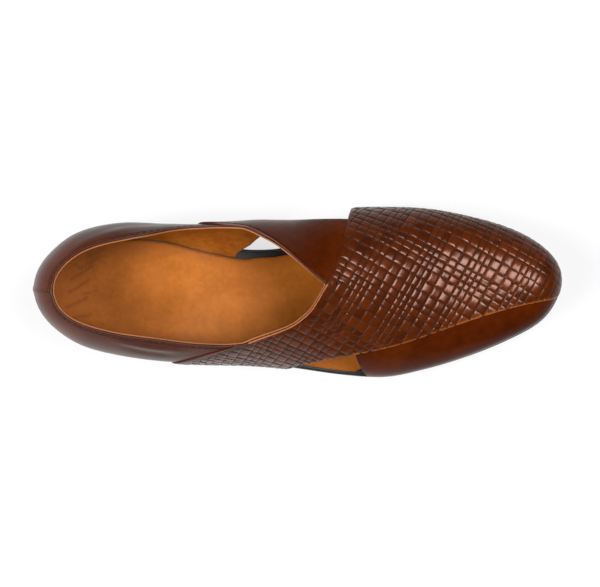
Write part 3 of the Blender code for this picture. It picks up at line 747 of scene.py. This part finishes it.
def footbed_leather():
    """The insole: tan leather, orange in the middle, browner towards its edges and under the heel, partly
    its own tone and partly painted shade of the upper's walls.
    """
    paint = Paint("footbed_leather", Specular_IOR_Level=0.04)
    cloud = paint.noise(0.022, 4.0, 0.6)
    mottle = paint.noise(0.0030, 5.0, 0.7)
    speck = paint.noise(0.0011, 2.0)
    tone = paint.step(cloud * 0.65 + mottle * 0.35, 0.30, 0.70)
    colour = paint.mix(tone, (0.126, 0.0345, 0.0028), (0.187, 0.0570, 0.0066))
    # The heel seat painted browner: partly wear, partly painted shade of the heel walls.
    seat = paint.fact("seat")
    brown = paint.mix(tone, (0.068, 0.0150, 0.0014), (0.108, 0.028, 0.0032))
    colour = paint.mix(seat * 0.75, colour, brown)
    # Browner towards the edges: partly the leather's own tone, partly painted shade along the upper's
    # walls.
    rim = 1 - paint.step(paint.fact("edge"), 0.0, 9.0 * MM)
    colour = paint.mix(rim * 0.5, colour, (0.100, 0.026, 0.0028))
    crease = paint.fact("crease")
    colour = paint.mix(crease * 0.6, colour, (0.045, 0.010, 0.0012))
    fleck = paint.step(speck, 0.62, 0.75) * 0.15
    colour = paint.mix(fleck, colour, (0.090, 0.025, 0.0035))
    height = mottle * (0.06 * MM) + speck * (0.03 * MM) - crease * (0.22 * MM)
    return paint.finish(colour, 0.42 + 0.15 * mottle, height)


# Finishes with one kind of mark: its size, detail and roughness, how far it is squeezed into level
# layers, a dark and a light colour, the gloss, the roughness, how much that varies, and the depth
ONE_MARK = {
    "cut_edge": (0.0006, 3.0, 0.7, 1, (0.065, 0.018, 0.0030), (0.150, 0.045, 0.0080),
                 0.3, 0.60, 0.15, 0.10),
    "dark_edge": (0.0009, 3.0, 0.6, 1, (0.012, 0.0025, 0.0006), (0.030, 0.0060, 0.0012),
                  0.15, 0.40, 0.15, 0.06),
    "rand_leather": (0.0015, 3.0, 0.6, 7, (0.0012, 0.0008, 0.0006), (0.0045, 0.0028, 0.0020),
                     0.2, 0.42, 0.2, 0.08),
    "waxed_thread": (0.0005, 2.0, 0.5, 1, (0.005, 0.0014, 0.0005), (0.012, 0.0036, 0.0012),
                     0.1, 0.50, 0.1, 0.04),
}


def one_mark(name):
    """A finish from the table: fibres, layers or twist of one size."""
    size, detail, rough, squeeze, dark, light, gloss, roughness, vary, depth = ONE_MARK[name]
    paint = Paint(name, Specular_IOR_Level=gloss)
    mark = paint.noise(size, detail, rough, paint.layered(squeeze))
    return paint.finish(paint.mix(mark, dark, light), roughness + vary * mark, mark * (depth * MM))


def sole_rubber():
    """Black satin rubber with faint buffing marks."""
    paint = Paint("sole_rubber", Specular_IOR_Level=0.4)
    marks = paint.noise(0.0020, 4.0, 0.6, paint.layered(5.0))
    dust = paint.noise(0.012, 4.0, 0.6)
    dusty = paint.step(dust, 0.45, 0.8)
    colour = paint.mix(dusty, (0.0020, 0.0019, 0.0019), (0.0055, 0.0050, 0.0048))
    return paint.finish(colour, 0.38 + 0.2 * marks, marks * (0.06 * MM))


def tread_rubber():
    """Underside of sole and heel: fine cross ribs."""
    paint = Paint("tread_rubber", Specular_IOR_Level=0.3)
    ribs = paint.node("ShaderNodeTexWave", {"wave_type": "BANDS", "bands_direction": "DIAGONAL"},
                      {"Vector": paint.place, "Scale": 260.0, "Distortion": 0.0})
    dust = paint.noise(0.010, 4.0, 0.6)
    colour = paint.mix(dust, (0.0035, 0.0033, 0.0031), (0.0090, 0.0084, 0.0080))
    return paint.finish(colour, 0.55 + 0.2 * dust, ribs * (0.15 * MM))


# ---- the upper ----


def opening_loop():
    """The foot's opening: instep strap, topline around the heel, and the throat of the vamp."""
    return join(INSTEP_EDGE, TOPLINE_IN, TOPLINE_OUT, THROAT_FREE)


def turns_around(step):
    """Turns for a loop of points around the sole, about one step apart."""
    return np.linspace(0, 2 * math.pi, round(LOOP_LENGTH * SOLE_LENGTH / step) + 1)[:-1]


def base_pattern():
    """The whole lasted leather, before its openings are cut."""
    turns = turns_around(WALL_STEP)
    sides = np.where(turns <= math.pi, SOLE_SIDE, -SOLE_SIDE)
    return unroll(list(zip((1 - np.cos(turns)) / 2, sides)))


def woven_outline():
    """The woven panel: over the toe, across the instep and down the outer side as a strap."""
    return join(VAMP_BACK, THROAT, along_sole(*WOVEN_STRAP_FOOT, False),
                STRAP_FRONT, TOE_SEAM, along_sole(*VAMP_FOOT, True))


def cut_plain(outline, holes=()):
    """Cut a pattern of plain leather."""
    return cut_flat(outline, holes, fill_points(outline, WALL_STEP), WALL_STEP * FILL_CLEAR)


def strap_outline():
    """The instep strap, from under the vamp down the inner side to the sole."""
    return join(STRAP_UNDER_VAMP, INSTEP_EDGE, STRAP_BACK, along_sole(*STRAP_FOOT, True), STRAP_LOW)


def borders(widths, low, high):
    """Places of the borders between strips, repeating the widths from zero both ways."""
    repeat = sum(widths)
    first, last = math.floor(low / repeat), math.ceil(high / repeat)
    starts = np.concatenate([[0.0], np.cumsum(widths)[:-1]])
    return np.concatenate([starts + turn * repeat for turn in range(first, last + 1)])


def weave_ways():
    """Directions of the two families of strips in the unrolled plane."""
    along = np.array([math.cos(WEAVE_TURN), math.sin(WEAVE_TURN)])
    return along, np.array([-along[1], along[0]])


def strip_lines(places):
    """Lines of points on each strip: close together at its grooves and few in its middle."""
    lines = []
    for start, end in zip(places, places[1:]):
        lines += [start + line for line in GROOVE_LINES]
        inner = start + GROOVE, end - GROOVE
        lines += [inner[0] + (inner[1] - inner[0]) * share for share in TILE_LINES]
        lines += [end - line for line in GROOVE_LINES[:0:-1]]
    return np.array(lines)


def weave_grid(outline):
    """Points for the woven panel, lined up with its strips."""
    lines = []
    for widths, way in zip((WEAVE_ALONG, WEAVE_ACROSS), weave_ways()):
        reach = outline @ way
        lines.append(strip_lines(borders(widths, reach.min(), reach.max())))
    u, v = np.meshgrid(*lines)
    along, across = weave_ways()
    return u.reshape(-1, 1) * along + v.reshape(-1, 1) * across


def weave_relief(flat):
    """Rise of the weave, which is nought in its grooves, and a number for each of its tiles."""
    rng = np.random.default_rng(WEAVE_SEED)
    places, shares, sides = [], [], []
    for widths, way in zip((WEAVE_ALONG, WEAVE_ACROSS), weave_ways()):
        reach = flat @ way
        lines = borders(widths, reach.min(), reach.max())
        strip = np.clip(np.searchsorted(lines, reach, side="right") - 1, 0, len(lines) - 2)
        width = lines[strip + 1] - lines[strip]
        share = (reach - lines[strip]) / width
        places.append(strip)
        shares.append(share * 2 - 1)
        sides.append(smoothstep(np.minimum(share, 1 - share) * width, 0, GROOVE))
    over = (places[0] + places[1]) % 2 == 0
    run = np.where(over, shares[1], shares[0])
    side, end = np.where(over, sides, sides[::-1])
    # Mask of the painted groove shade: nought in the grooves and lower at the tile ends.
    clear = side * (1 - END_SHADE * (1 - end))
    number = rng.random((places[0].max() + 1, places[1].max() + 1, 3))[places[0], places[1]]
    tilt = (number[:, 0] - 0.5) * shares[0] + (number[:, 1] - 0.5) * shares[1]
    rise = side * (WEAVE_RISE * (1 - WEAVE_DIVE * run ** 4) + WEAVE_TILT * tilt)
    return rise, clear, number[:, 2]


# Where the weave lies flatter: the share of its rise that is lost, and from where to where, by the
# distance from the turned border, by the length and by the girth
FLATTER_BORDER = (0.85, 0.0022, 0.0009)
FLATTER_TIP = (0.55, 0.90, 1.0)
FLATTER_SIDES = (0.35, 0.75, 1.0)

# The raw edge along the toe seam, its lighter line partly a painted highlight, and the painted shade along
# the strap's border with its front end
RAW_EDGE = (0.0003, 0.0009)
BORDER_SHADE = (0.0024, 0.0040)
BORDER_SHADE_END = (0.37, 0.43)


def flatter(values, loss, start, end):
    """What is left of the weave's rise from a start, where all stands, to an end."""
    return 1 - loss * smoothstep(values, start, end)


def woven_vamp():
    """The woven panel with its relief, and plain narrow borders at its turned edges."""
    outline = woven_outline()
    cut = cut_flat(outline, (), weave_grid(outline), WEAVE_CLEAR)
    flat = cut[0]
    rise, clear, tile = weave_relief(flat)
    _, girth = over_last(flat)
    turned = np.concatenate([smooth(VAMP_BACK)[:-1], smooth(THROAT)])
    throat = far_from(flat, turned, closed=False)
    seam = far_from(flat, smooth(TOE_SEAM), closed=False)
    place = share_along(flat[:, 0])
    fade = flatter(throat, *FLATTER_BORDER) * flatter(place, *FLATTER_TIP) * flatter(girth, *FLATTER_SIDES)
    border = (1 - smoothstep(throat, *BORDER_SHADE)) * (1 - smoothstep(place, *BORDER_SHADE_END))
    bare = np.minimum(seam, far_from(flat, smooth(THROAT_FREE), closed=False)) < SAME_POINT
    # The fact rise carries the mask of the painted groove shade.
    return leather_piece("woven_vamp", cut, WOVEN, [woven_leather(), DARK_EDGE, CUT_EDGE],
                         relief=rise * fade, edge_slot=np.where(bare, 2, 1),
                         rise=1 - (1 - clear) * fade, tile=tile,
                         raw=1 - smoothstep(seam, *RAW_EDGE), border=border)


def wall_holes(step_back):
    """The foot's opening, the outer and the inner window, cut back from the lines of the overlays."""
    loops = opening_loop(), join(STRAP_FRONT, TOE_SIDE_BACK), join(WAIST_EDGE, VAMP_SIDE)
    return [grow(loop, step_back) for loop in loops]


# Lines of the quarter's folds, as shares of length and girth, with their width and height in metres
FOLD_SAG = 0.012
FOLD_STARTS = (-0.1, 0.3)
FOLD_ENDS = (0.7, 1.1)
WALL_FOLDS = (
    ((0.11, -0.485), (0.27, -0.53), 0.0030, 0.00045),
    ((0.14, -0.555), (0.25, -0.60), 0.0035, -0.00040),
    ((0.05, 0.50), (0.17, 0.56), 0.0040, 0.00040),
    ((0.12, 0.64), (0.24, 0.66), 0.0045, -0.00035),
)

# The raised back seam over the heel
BACK_SEAM_RISE = 0.0005
BACK_SEAM_WIDTH = 0.0028


def folds(flat, table):
    """Soft troughs and ridges pressed into a leather, from a table of their lines."""
    relief = np.zeros(len(flat))
    for start, end, width, height in table:
        middle = ((start[0] + end[0]) / 2, (start[1] + end[1]) / 2 - FOLD_SAG)
        line = unroll((start, middle, end))
        away = far_from(flat, line, closed=False)
        reach = (flat - line[0]) @ (line[-1] - line[0]) / np.sum((line[-1] - line[0]) ** 2)
        fade = smoothstep(reach, *FOLD_STARTS) * (1 - smoothstep(reach, *FOLD_ENDS))
        relief += height * fade * np.exp(-(away / width) ** 2)
    return relief


def plain_wall():
    """Heel quarter and toe side: the plain outer leather."""
    outline, holes = base_pattern(), wall_holes(TURNED_EDGE)
    cut = cut_plain(outline, holes)
    flat = cut[0]
    collar = far_from(flat, holes[0])
    edge = np.minimum(collar, np.minimum(far_from(flat, holes[1]), far_from(flat, holes[2])))
    heel = flat[:, 0] < SOLE_LENGTH * CROWN_BACK
    seam = np.where(heel, np.abs(flat[:, 1] - BALL_WIDTH * column("crown_side")[0]), FAR_AWAY)
    relief = BACK_SEAM_RISE * np.exp(-(seam / BACK_SEAM_WIDTH) ** 2) + folds(flat, WALL_FOLDS)
    return leather_piece("plain_wall", cut, WALL, [POLISHED, DARK_EDGE], bulge=WALL_BULGE,
                         relief=relief, collar=collar, edge=edge, seam=seam)


def lining():
    """The tan lining, its cut edge standing a little above the outer leather."""
    outline, holes = base_pattern(), wall_holes(TURNED_EDGE - LINING_PROUD)
    cut = cut_plain(outline, holes)
    return leather_piece("lining", cut, LINING, [tan_lining(), CUT_EDGE], show_inner=True,
                         edge=far_from(cut[0], holes[0]))


def instep_strap():
    """The plain strap over the instep, lying outside the quarter where it runs down to the sole."""
    outline = strap_outline()
    cut = cut_plain(outline)
    flat = cut[0]
    points, _ = over_last(flat)
    raised = 1 - smoothstep(share_along(points[:, 0]), STRAP_FULL_AT, STRAP_START_AT)
    top = WALL[1] + HAIR_GAP + STRAP_RAISED * raised
    away = np.full(len(flat), FAR_AWAY)
    return leather_piece("instep_strap", cut, (top - STRAP_THICKNESS, top), [POLISHED, DARK_EDGE],
                         collar=away, edge=far_from(flat, outline), seam=away)


# Stitches of the collar: sizes, and the rings of each as shares of its length and thickness
THREAD = 0.00028
STITCH_LENGTH = 0.0026
STITCH_GAP = 0.0007
STITCH_SUNK = 0.00012
STITCH_DIVE = 0.0002
STITCHES_END = 0.36
STITCH_SIDES = 6
STITCH_SHAPE = ((0.0, 0.15), (0.08, 0.75), (0.25, 1.0), (0.75, 1.0), (0.92, 0.75), (1.0, 0.15))
NEARBY = 0.0005


def stitch_ends():
    """Both ends of every stitch in the unrolled plane, below the collar and behind the straps."""
    loop = grow(opening_loop(), TURNED_EDGE + STITCH_LINE)
    closed = np.vstack([loop, loop[:1]])
    reach = np.concatenate([[0], np.cumsum(np.linalg.norm(np.diff(closed, axis=0), axis=1))])
    starts = np.arange(0, reach[-1] - STITCH_LENGTH, STITCH_LENGTH + STITCH_GAP)
    ends = [np.stack([np.interp(starts + shift, reach, closed[:, axis]) for axis in range(2)], axis=-1)
            for shift in (0, STITCH_LENGTH)]
    chosen = share_along(ends[0][:, 0]) < STITCHES_END
    return [end[chosen] for end in ends]


def collar_stitches():
    """The row of stitches around the heel."""
    ends = stitch_ends()
    starts, stops = (over_last(end)[0] for end in ends)
    beside = [over_last(ends[0] + shift)[0] - starts for shift in np.eye(2) * NEARBY]
    turns = np.linspace(0, 2 * math.pi, STITCH_SIDES + 1)[:-1]
    points, faces = [], []
    for start, stop, up in zip(starts, stops, unit(np.cross(*beside))):
        way = stop - start
        side = np.cross(up, way / np.linalg.norm(way))
        circle = np.outer(np.cos(turns), side) + np.outer(np.sin(turns), up)
        rings = []
        for share, size in STITCH_SHAPE:
            rings.append(len(points) + np.arange(STITCH_SIDES))
            middle = start + way * share + up * (WALL[1] - STITCH_SUNK - STITCH_DIVE * (1 - size))
            points += list(middle + circle * THREAD * size)
        faces += bands(rings[::-1])
    return make_piece("collar_stitches", points, faces, [one_mark("waxed_thread")])


# ---- the sole ----

# Edges of outsole and midsole, lowest first: an inset and a share of the thickness
SOLE_PROFILE = ((0.0009, 0.0), (0.0004, 0.04), (0.0001, 0.14), (0.0, 0.4), (0.0, 0.7), (0.0001, 0.86),
                (0.0004, 0.96), (0.0009, 1.0))
RAND_PROFILE = ((0.0, 0.0), (0.0, 0.75), (0.0002, 0.92), (0.0006, 1.0))
RAND_INSET = 0.0008

# The heel block from the floor up: an inset and a share of the height, with a groove at each lift
HEEL_INSET = 0.0014
HEEL_PROFILE = ((0.0027, 0.0), (0.0021, 0.02), (0.0019, 0.06), (0.0015, 0.26), (0.0019, 0.275),
                (0.0015, 0.29), (0.0011, 0.52), (0.0013, 0.53), (0.0010, 0.54), (0.0006, 0.76),
                (0.0008, 0.77), (0.0005, 0.78), (0.0, 1.0))
HEEL_POINTS = 60
BREAST_POINTS = 24
LAYER_GAP = 0.0002
SHARP = math.radians(50)


def sole_loop(inset):
    """The sole's edge in plan, moved in by the inset."""
    return sole_outline(turns_around(SOLE_STEP), inset)[0]


def heel_loop(inset):
    """The heel block in plan: the back of the sole's edge, closed by the straight breast."""
    breast = SOLE_LENGTH * (HEEL_BREAST - 0.5) - inset
    turns = np.linspace(0, math.pi, BREAST_TURNS)
    ends = [np.interp(breast, sole_outline(side, inset)[0][:, 0], side)
            for side in (turns, 2 * math.pi - turns)]
    inner = sole_outline(np.linspace(0, ends[0], HEEL_POINTS), inset)[0]
    outer = sole_outline(np.linspace(ends[1], 2 * math.pi, HEEL_POINTS)[:-1], inset)[0]
    front = np.linspace(inner[-1], outer[0], BREAST_POINTS)[1:-1]
    return np.vstack([inner, front, outer])


def cap_height(flat, ring):
    """Heights of a cap, which bends along the shoe only."""
    order = np.argsort(ring[:, 0])
    return np.interp(flat[:, 0], ring[order, 0], ring[order, 2])


def ringed_block(name, rings, surfaces, under=0):
    """A closed block from rings of points, lowest first. Under is the surface of its underside."""
    points = [point for ring in rings for point in ring]
    faces = bands(np.arange(len(points)).reshape(len(rings), -1))
    slots = [0] * len(faces)
    for ring, upward, slot in ((rings[0], False, under), (rings[-1], True, 0)):
        outline = ring[:, :2]
        flat, tris, _ = cut_flat(outline, (), fill_points(outline, CAP_STEP), CAP_STEP * CAP_CLEAR)
        first = len(points)
        points += list(np.column_stack([flat, cap_height(flat, ring)]))
        faces += [tuple(face) for face in (tris if upward else tris[:, ::-1]) + first]
        slots += [slot] * len(tris)
    thing = make_piece(name, np.array(points), faces, surfaces, slots)
    thing.data.set_sharp_from_angle(angle=SHARP)
    return thing


def sole_layer(name, inset, bottom, thickness, profile, surfaces, under=0):
    """A layer of the sole, whose bottom is a height for each place along the shoe."""
    rings = []
    for row_inset, share in profile:
        plan = sole_loop(inset + row_inset)
        rings.append(np.column_stack([plan, bottom(plan[:, 0]) + share * thickness]))
    return ringed_block(name, rings, surfaces, under)


def heel_block():
    """The heel block: stacked lifts over a rubber top piece."""
    rings = []
    for inset, share in HEEL_PROFILE:
        plan = heel_loop(HEEL_INSET + inset)
        rings.append(np.column_stack([plan, (sole_bottom(plan[:, 0]) - LAYER_GAP) * share]))
    return ringed_block("heel_block", rings, [RUBBER, TREAD], under=1)


# Creases of the footbed, in millimetres from the sole's middle: two ends, width and depth
FOOTBED_CREASES = (
    (-128, 2, -117, 9, 0.8, 0.9),
    (-127, 9, -115, 17, 0.7, 0.8),
    (-122, 15, -111, 22, 0.7, 0.7),
    (-129, -6, -118, -1, 0.8, 0.8),
    (-126, -12, -116, -10, 0.7, 0.7),
    (-121, 1, -112, 3, 0.6, 0.6),
    (-118, 22, -108, 26, 0.8, 0.5),
    (-76, 22, -60, 26, 1.0, 0.3),
    (28, 18, 36, -2, 1.2, 0.25),
)


# Windows where the footbed reaches further out, from one share of the length to another, on the
# inner side, 1, or the outer side, -1, and by how many metres
FOOTBED_WINDOWS = ((0.388, 0.592, 1, 0.0012), (0.468, 0.616, -1, 0.0026))
WINDOW_START = 0.030
WINDOW_END = 0.012

# The footbed's clear distance from the upper, its dish, its rounded edge and its heel seat, painted
# browner partly for wear and partly as painted shade of the heel walls
BED_INSET = 0.0005
BED_DISH = 0.0006
DISH_WIDTH = 0.020
BED_ROUNDING = 0.0005
ROUNDING_WIDTH = 0.0009
BED_OPEN = 0.0006
HEEL_SEAT = (-0.128, -0.070)
CREASE_BOW = 0.07


def footbed_outline():
    """The insole's edge in plan, with its wider parts in the windows."""
    outline = sole_loop(WELT_MARGIN + BED_INSET)
    for start, end, side, wider in FOOTBED_WINDOWS:
        place = share_along(outline[:, 0])
        wide = smoothstep(place, start, start + WINDOW_START) * (outline[:, 1] * side > 0)
        wide *= 1 - smoothstep(place, end - WINDOW_END, end)
        outline = grow(outline, (wide * wider)[:, None])
    return outline


def footbed():
    """The insole, a little dished, with fine creases under the heel."""
    outline = footbed_outline()
    flat, faces, rims = cut_flat(outline, (), fill_points(outline, BED_STEP), BED_CLEAR)
    edge = far_from(flat, outline)
    crease = np.zeros(len(flat))
    for x0, y0, x1, y1, width, depth in FOOTBED_CREASES:
        middle = ((x0 + x1) / 2 + (y1 - y0) * CREASE_BOW, (y0 + y1) / 2)
        away = far_from(flat, np.array([(x0, y0), middle, (x1, y1)]) * MM, closed=False)
        crease = np.maximum(crease, depth * np.exp(-(away / (width * MM)) ** 2))
    height = feather_height(flat[:, 0]) + INSOLE - BED_DISH * smoothstep(edge, 0, DISH_WIDTH)
    height = height - BED_ROUNDING * (1 - smoothstep(edge, 0, ROUNDING_WIDTH))
    top = np.column_stack([flat, height])
    rim = top[rims[0]] - [0, 0, INSOLE - BED_OPEN]
    sides = bands((rims[0], len(flat) + np.arange(len(rim))))
    source = np.concatenate([np.arange(len(flat)), rims[0]])
    return make_piece("footbed", np.vstack([top, rim]), [tuple(face) for face in faces] + sides,
                      [footbed_leather()], edge=edge[source], crease=crease[source],
                      seat=1 - smoothstep(flat[source, 0], *HEEL_SEAT))


# ---- assembly ----

POLISHED = polished_leather()
CUT_EDGE = one_mark("cut_edge")
DARK_EDGE = one_mark("dark_edge")
RUBBER = sole_rubber()
TREAD = tread_rubber()


def build():
    """Make every piece, hide the model's parts that they replace, and attach them all to the root body."""
    vamp, wall, inner, strap = woven_vamp(), plain_wall(), lining(), instep_strap()
    for piece in (vamp, wall, inner, strap):
        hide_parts("upper")
    thread = collar_stitches()
    bed = footbed()
    rand = sole_layer("rand", RAND_INSET, lambda x: sole_bottom(x) + OUTSOLE + LAYER_GAP,
                      MIDSOLE - LAYER_GAP - HAIR_GAP, RAND_PROFILE, [one_mark("rand_leather")])
    sole = sole_layer("sole", 0.0, sole_bottom, OUTSOLE, SOLE_PROFILE, [RUBBER, TREAD], under=1)
    block = heel_block()
    for piece, node in ((bed, "insole"), (rand, "midsole"), (sole, "outsole"), (block, "heel")):
        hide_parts(node)
    slots = {"brown_leather": (vamp, wall, strap, thread), "tan_insole": (inner, bed),
             "brown_rand": (rand,), "black_sole": (sole,), "black_heel": (block,)}
    for slot, pieces in slots.items():
        for piece in pieces:
            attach(piece, "root")


# ---- studio ----

WHITE = (1.0, 1.0, 1.0, 1.0)
LOOK_AT = (0.0, 0.0, 0.03)
CAMERA_AT = (-0.0009, 0.0855, 2.0)
LENS = 217
FAR_CLIP = 20
FLOOR_REACH = 4

# Soft lamps: name, place, width, power
SOFTBOXES = (
    ("toe_softbox", (0.68, 0.26, 1.70), 0.95, 92.0),
    ("heel_softbox", (-1.35, -0.30, 1.30), 1.20, 140.0),
)

# The sky's strength at the horizon and overhead, and the heights between which it changes
SKY = {"To Min": 0.08, "To Max": 0.02, "From Min": 0.25, "From Max": 0.75}


def put(name, data, place):
    """Place a lamp or the camera, turned to the shoe, its top towards +Y where it looks down."""
    thing = bpy.data.objects.new(name, data)
    thing.location = place
    back = (thing.location - Vector(LOOK_AT)).normalized()
    right = Vector((0.0, 1.0, 0.0)).cross(back).normalized()
    thing.rotation_mode = "QUATERNION"
    thing.rotation_quaternion = Matrix((right, back.cross(right), back)).transposed().to_quaternion()
    bpy.context.scene.collection.objects.link(thing)
    return thing


def lamps():
    """The two square softboxes."""
    for name, place, width, power in SOFTBOXES:
        lamp = bpy.data.lights.new(name, "AREA")
        lamp.shape = "RECTANGLE"
        lamp.size = lamp.size_y = width
        lamp.energy = power
        put(name, lamp, place)


def dim_sky():
    """A sky that is a little lighter at the horizon than overhead."""
    sky = bpy.data.worlds.new("studio_sky")
    sky.use_nodes = True
    tree = sky.node_tree
    where = tree.nodes.new("ShaderNodeTexCoord")
    parts = tree.nodes.new("ShaderNodeSeparateXYZ")
    ramp = tree.nodes.new("ShaderNodeMapRange")
    ramp.interpolation_type = "SMOOTHSTEP"
    for socket, value in SKY.items():
        ramp.inputs[socket].default_value = value
    tree.links.new(where.outputs["Generated"], parts.inputs[0])
    tree.links.new(parts.outputs["Z"], ramp.inputs["Value"])
    tree.links.new(ramp.outputs[0], tree.nodes["Background"].inputs["Strength"])
    bpy.context.scene.world = sky


def white_floor():
    """The sheet of white paper that the shoe stands on. It glows a little, to stay white."""
    paper = Paint("white_paper", Specular_IOR_Level=0.1, Emission_Color=WHITE, Emission_Strength=0.72)
    fibre = paper.noise(0.003, 3.0)
    colour = paper.mix(fibre, (0.075, 0.075, 0.075), (0.085, 0.085, 0.085))
    corners = [(x * FLOOR_REACH, y * FLOOR_REACH, 0) for x, y in ((-1, -1), (1, -1), (1, 1), (-1, 1))]
    mesh = bpy.data.meshes.new("floor")
    mesh.from_pydata(corners, [], [(0, 1, 2, 3)])
    mesh.materials.append(paper.finish(colour, 0.8, fibre * (0.02 * MM)))
    floor = bpy.data.objects.new("floor", mesh)
    bpy.context.scene.collection.objects.link(floor)


def studio():
    """Lamps, sky, floor and the camera at the photo's angle."""
    scene = bpy.context.scene
    scene.view_settings.view_transform = "Standard"
    lamps()
    dim_sky()
    white_floor()
    camera = bpy.data.cameras.new("camera")
    camera.lens = LENS
    camera.clip_end = FAR_CLIP
    scene.camera = put("camera", camera, CAMERA_AT)


build()
studio()
bpy.context.view_layer.update()
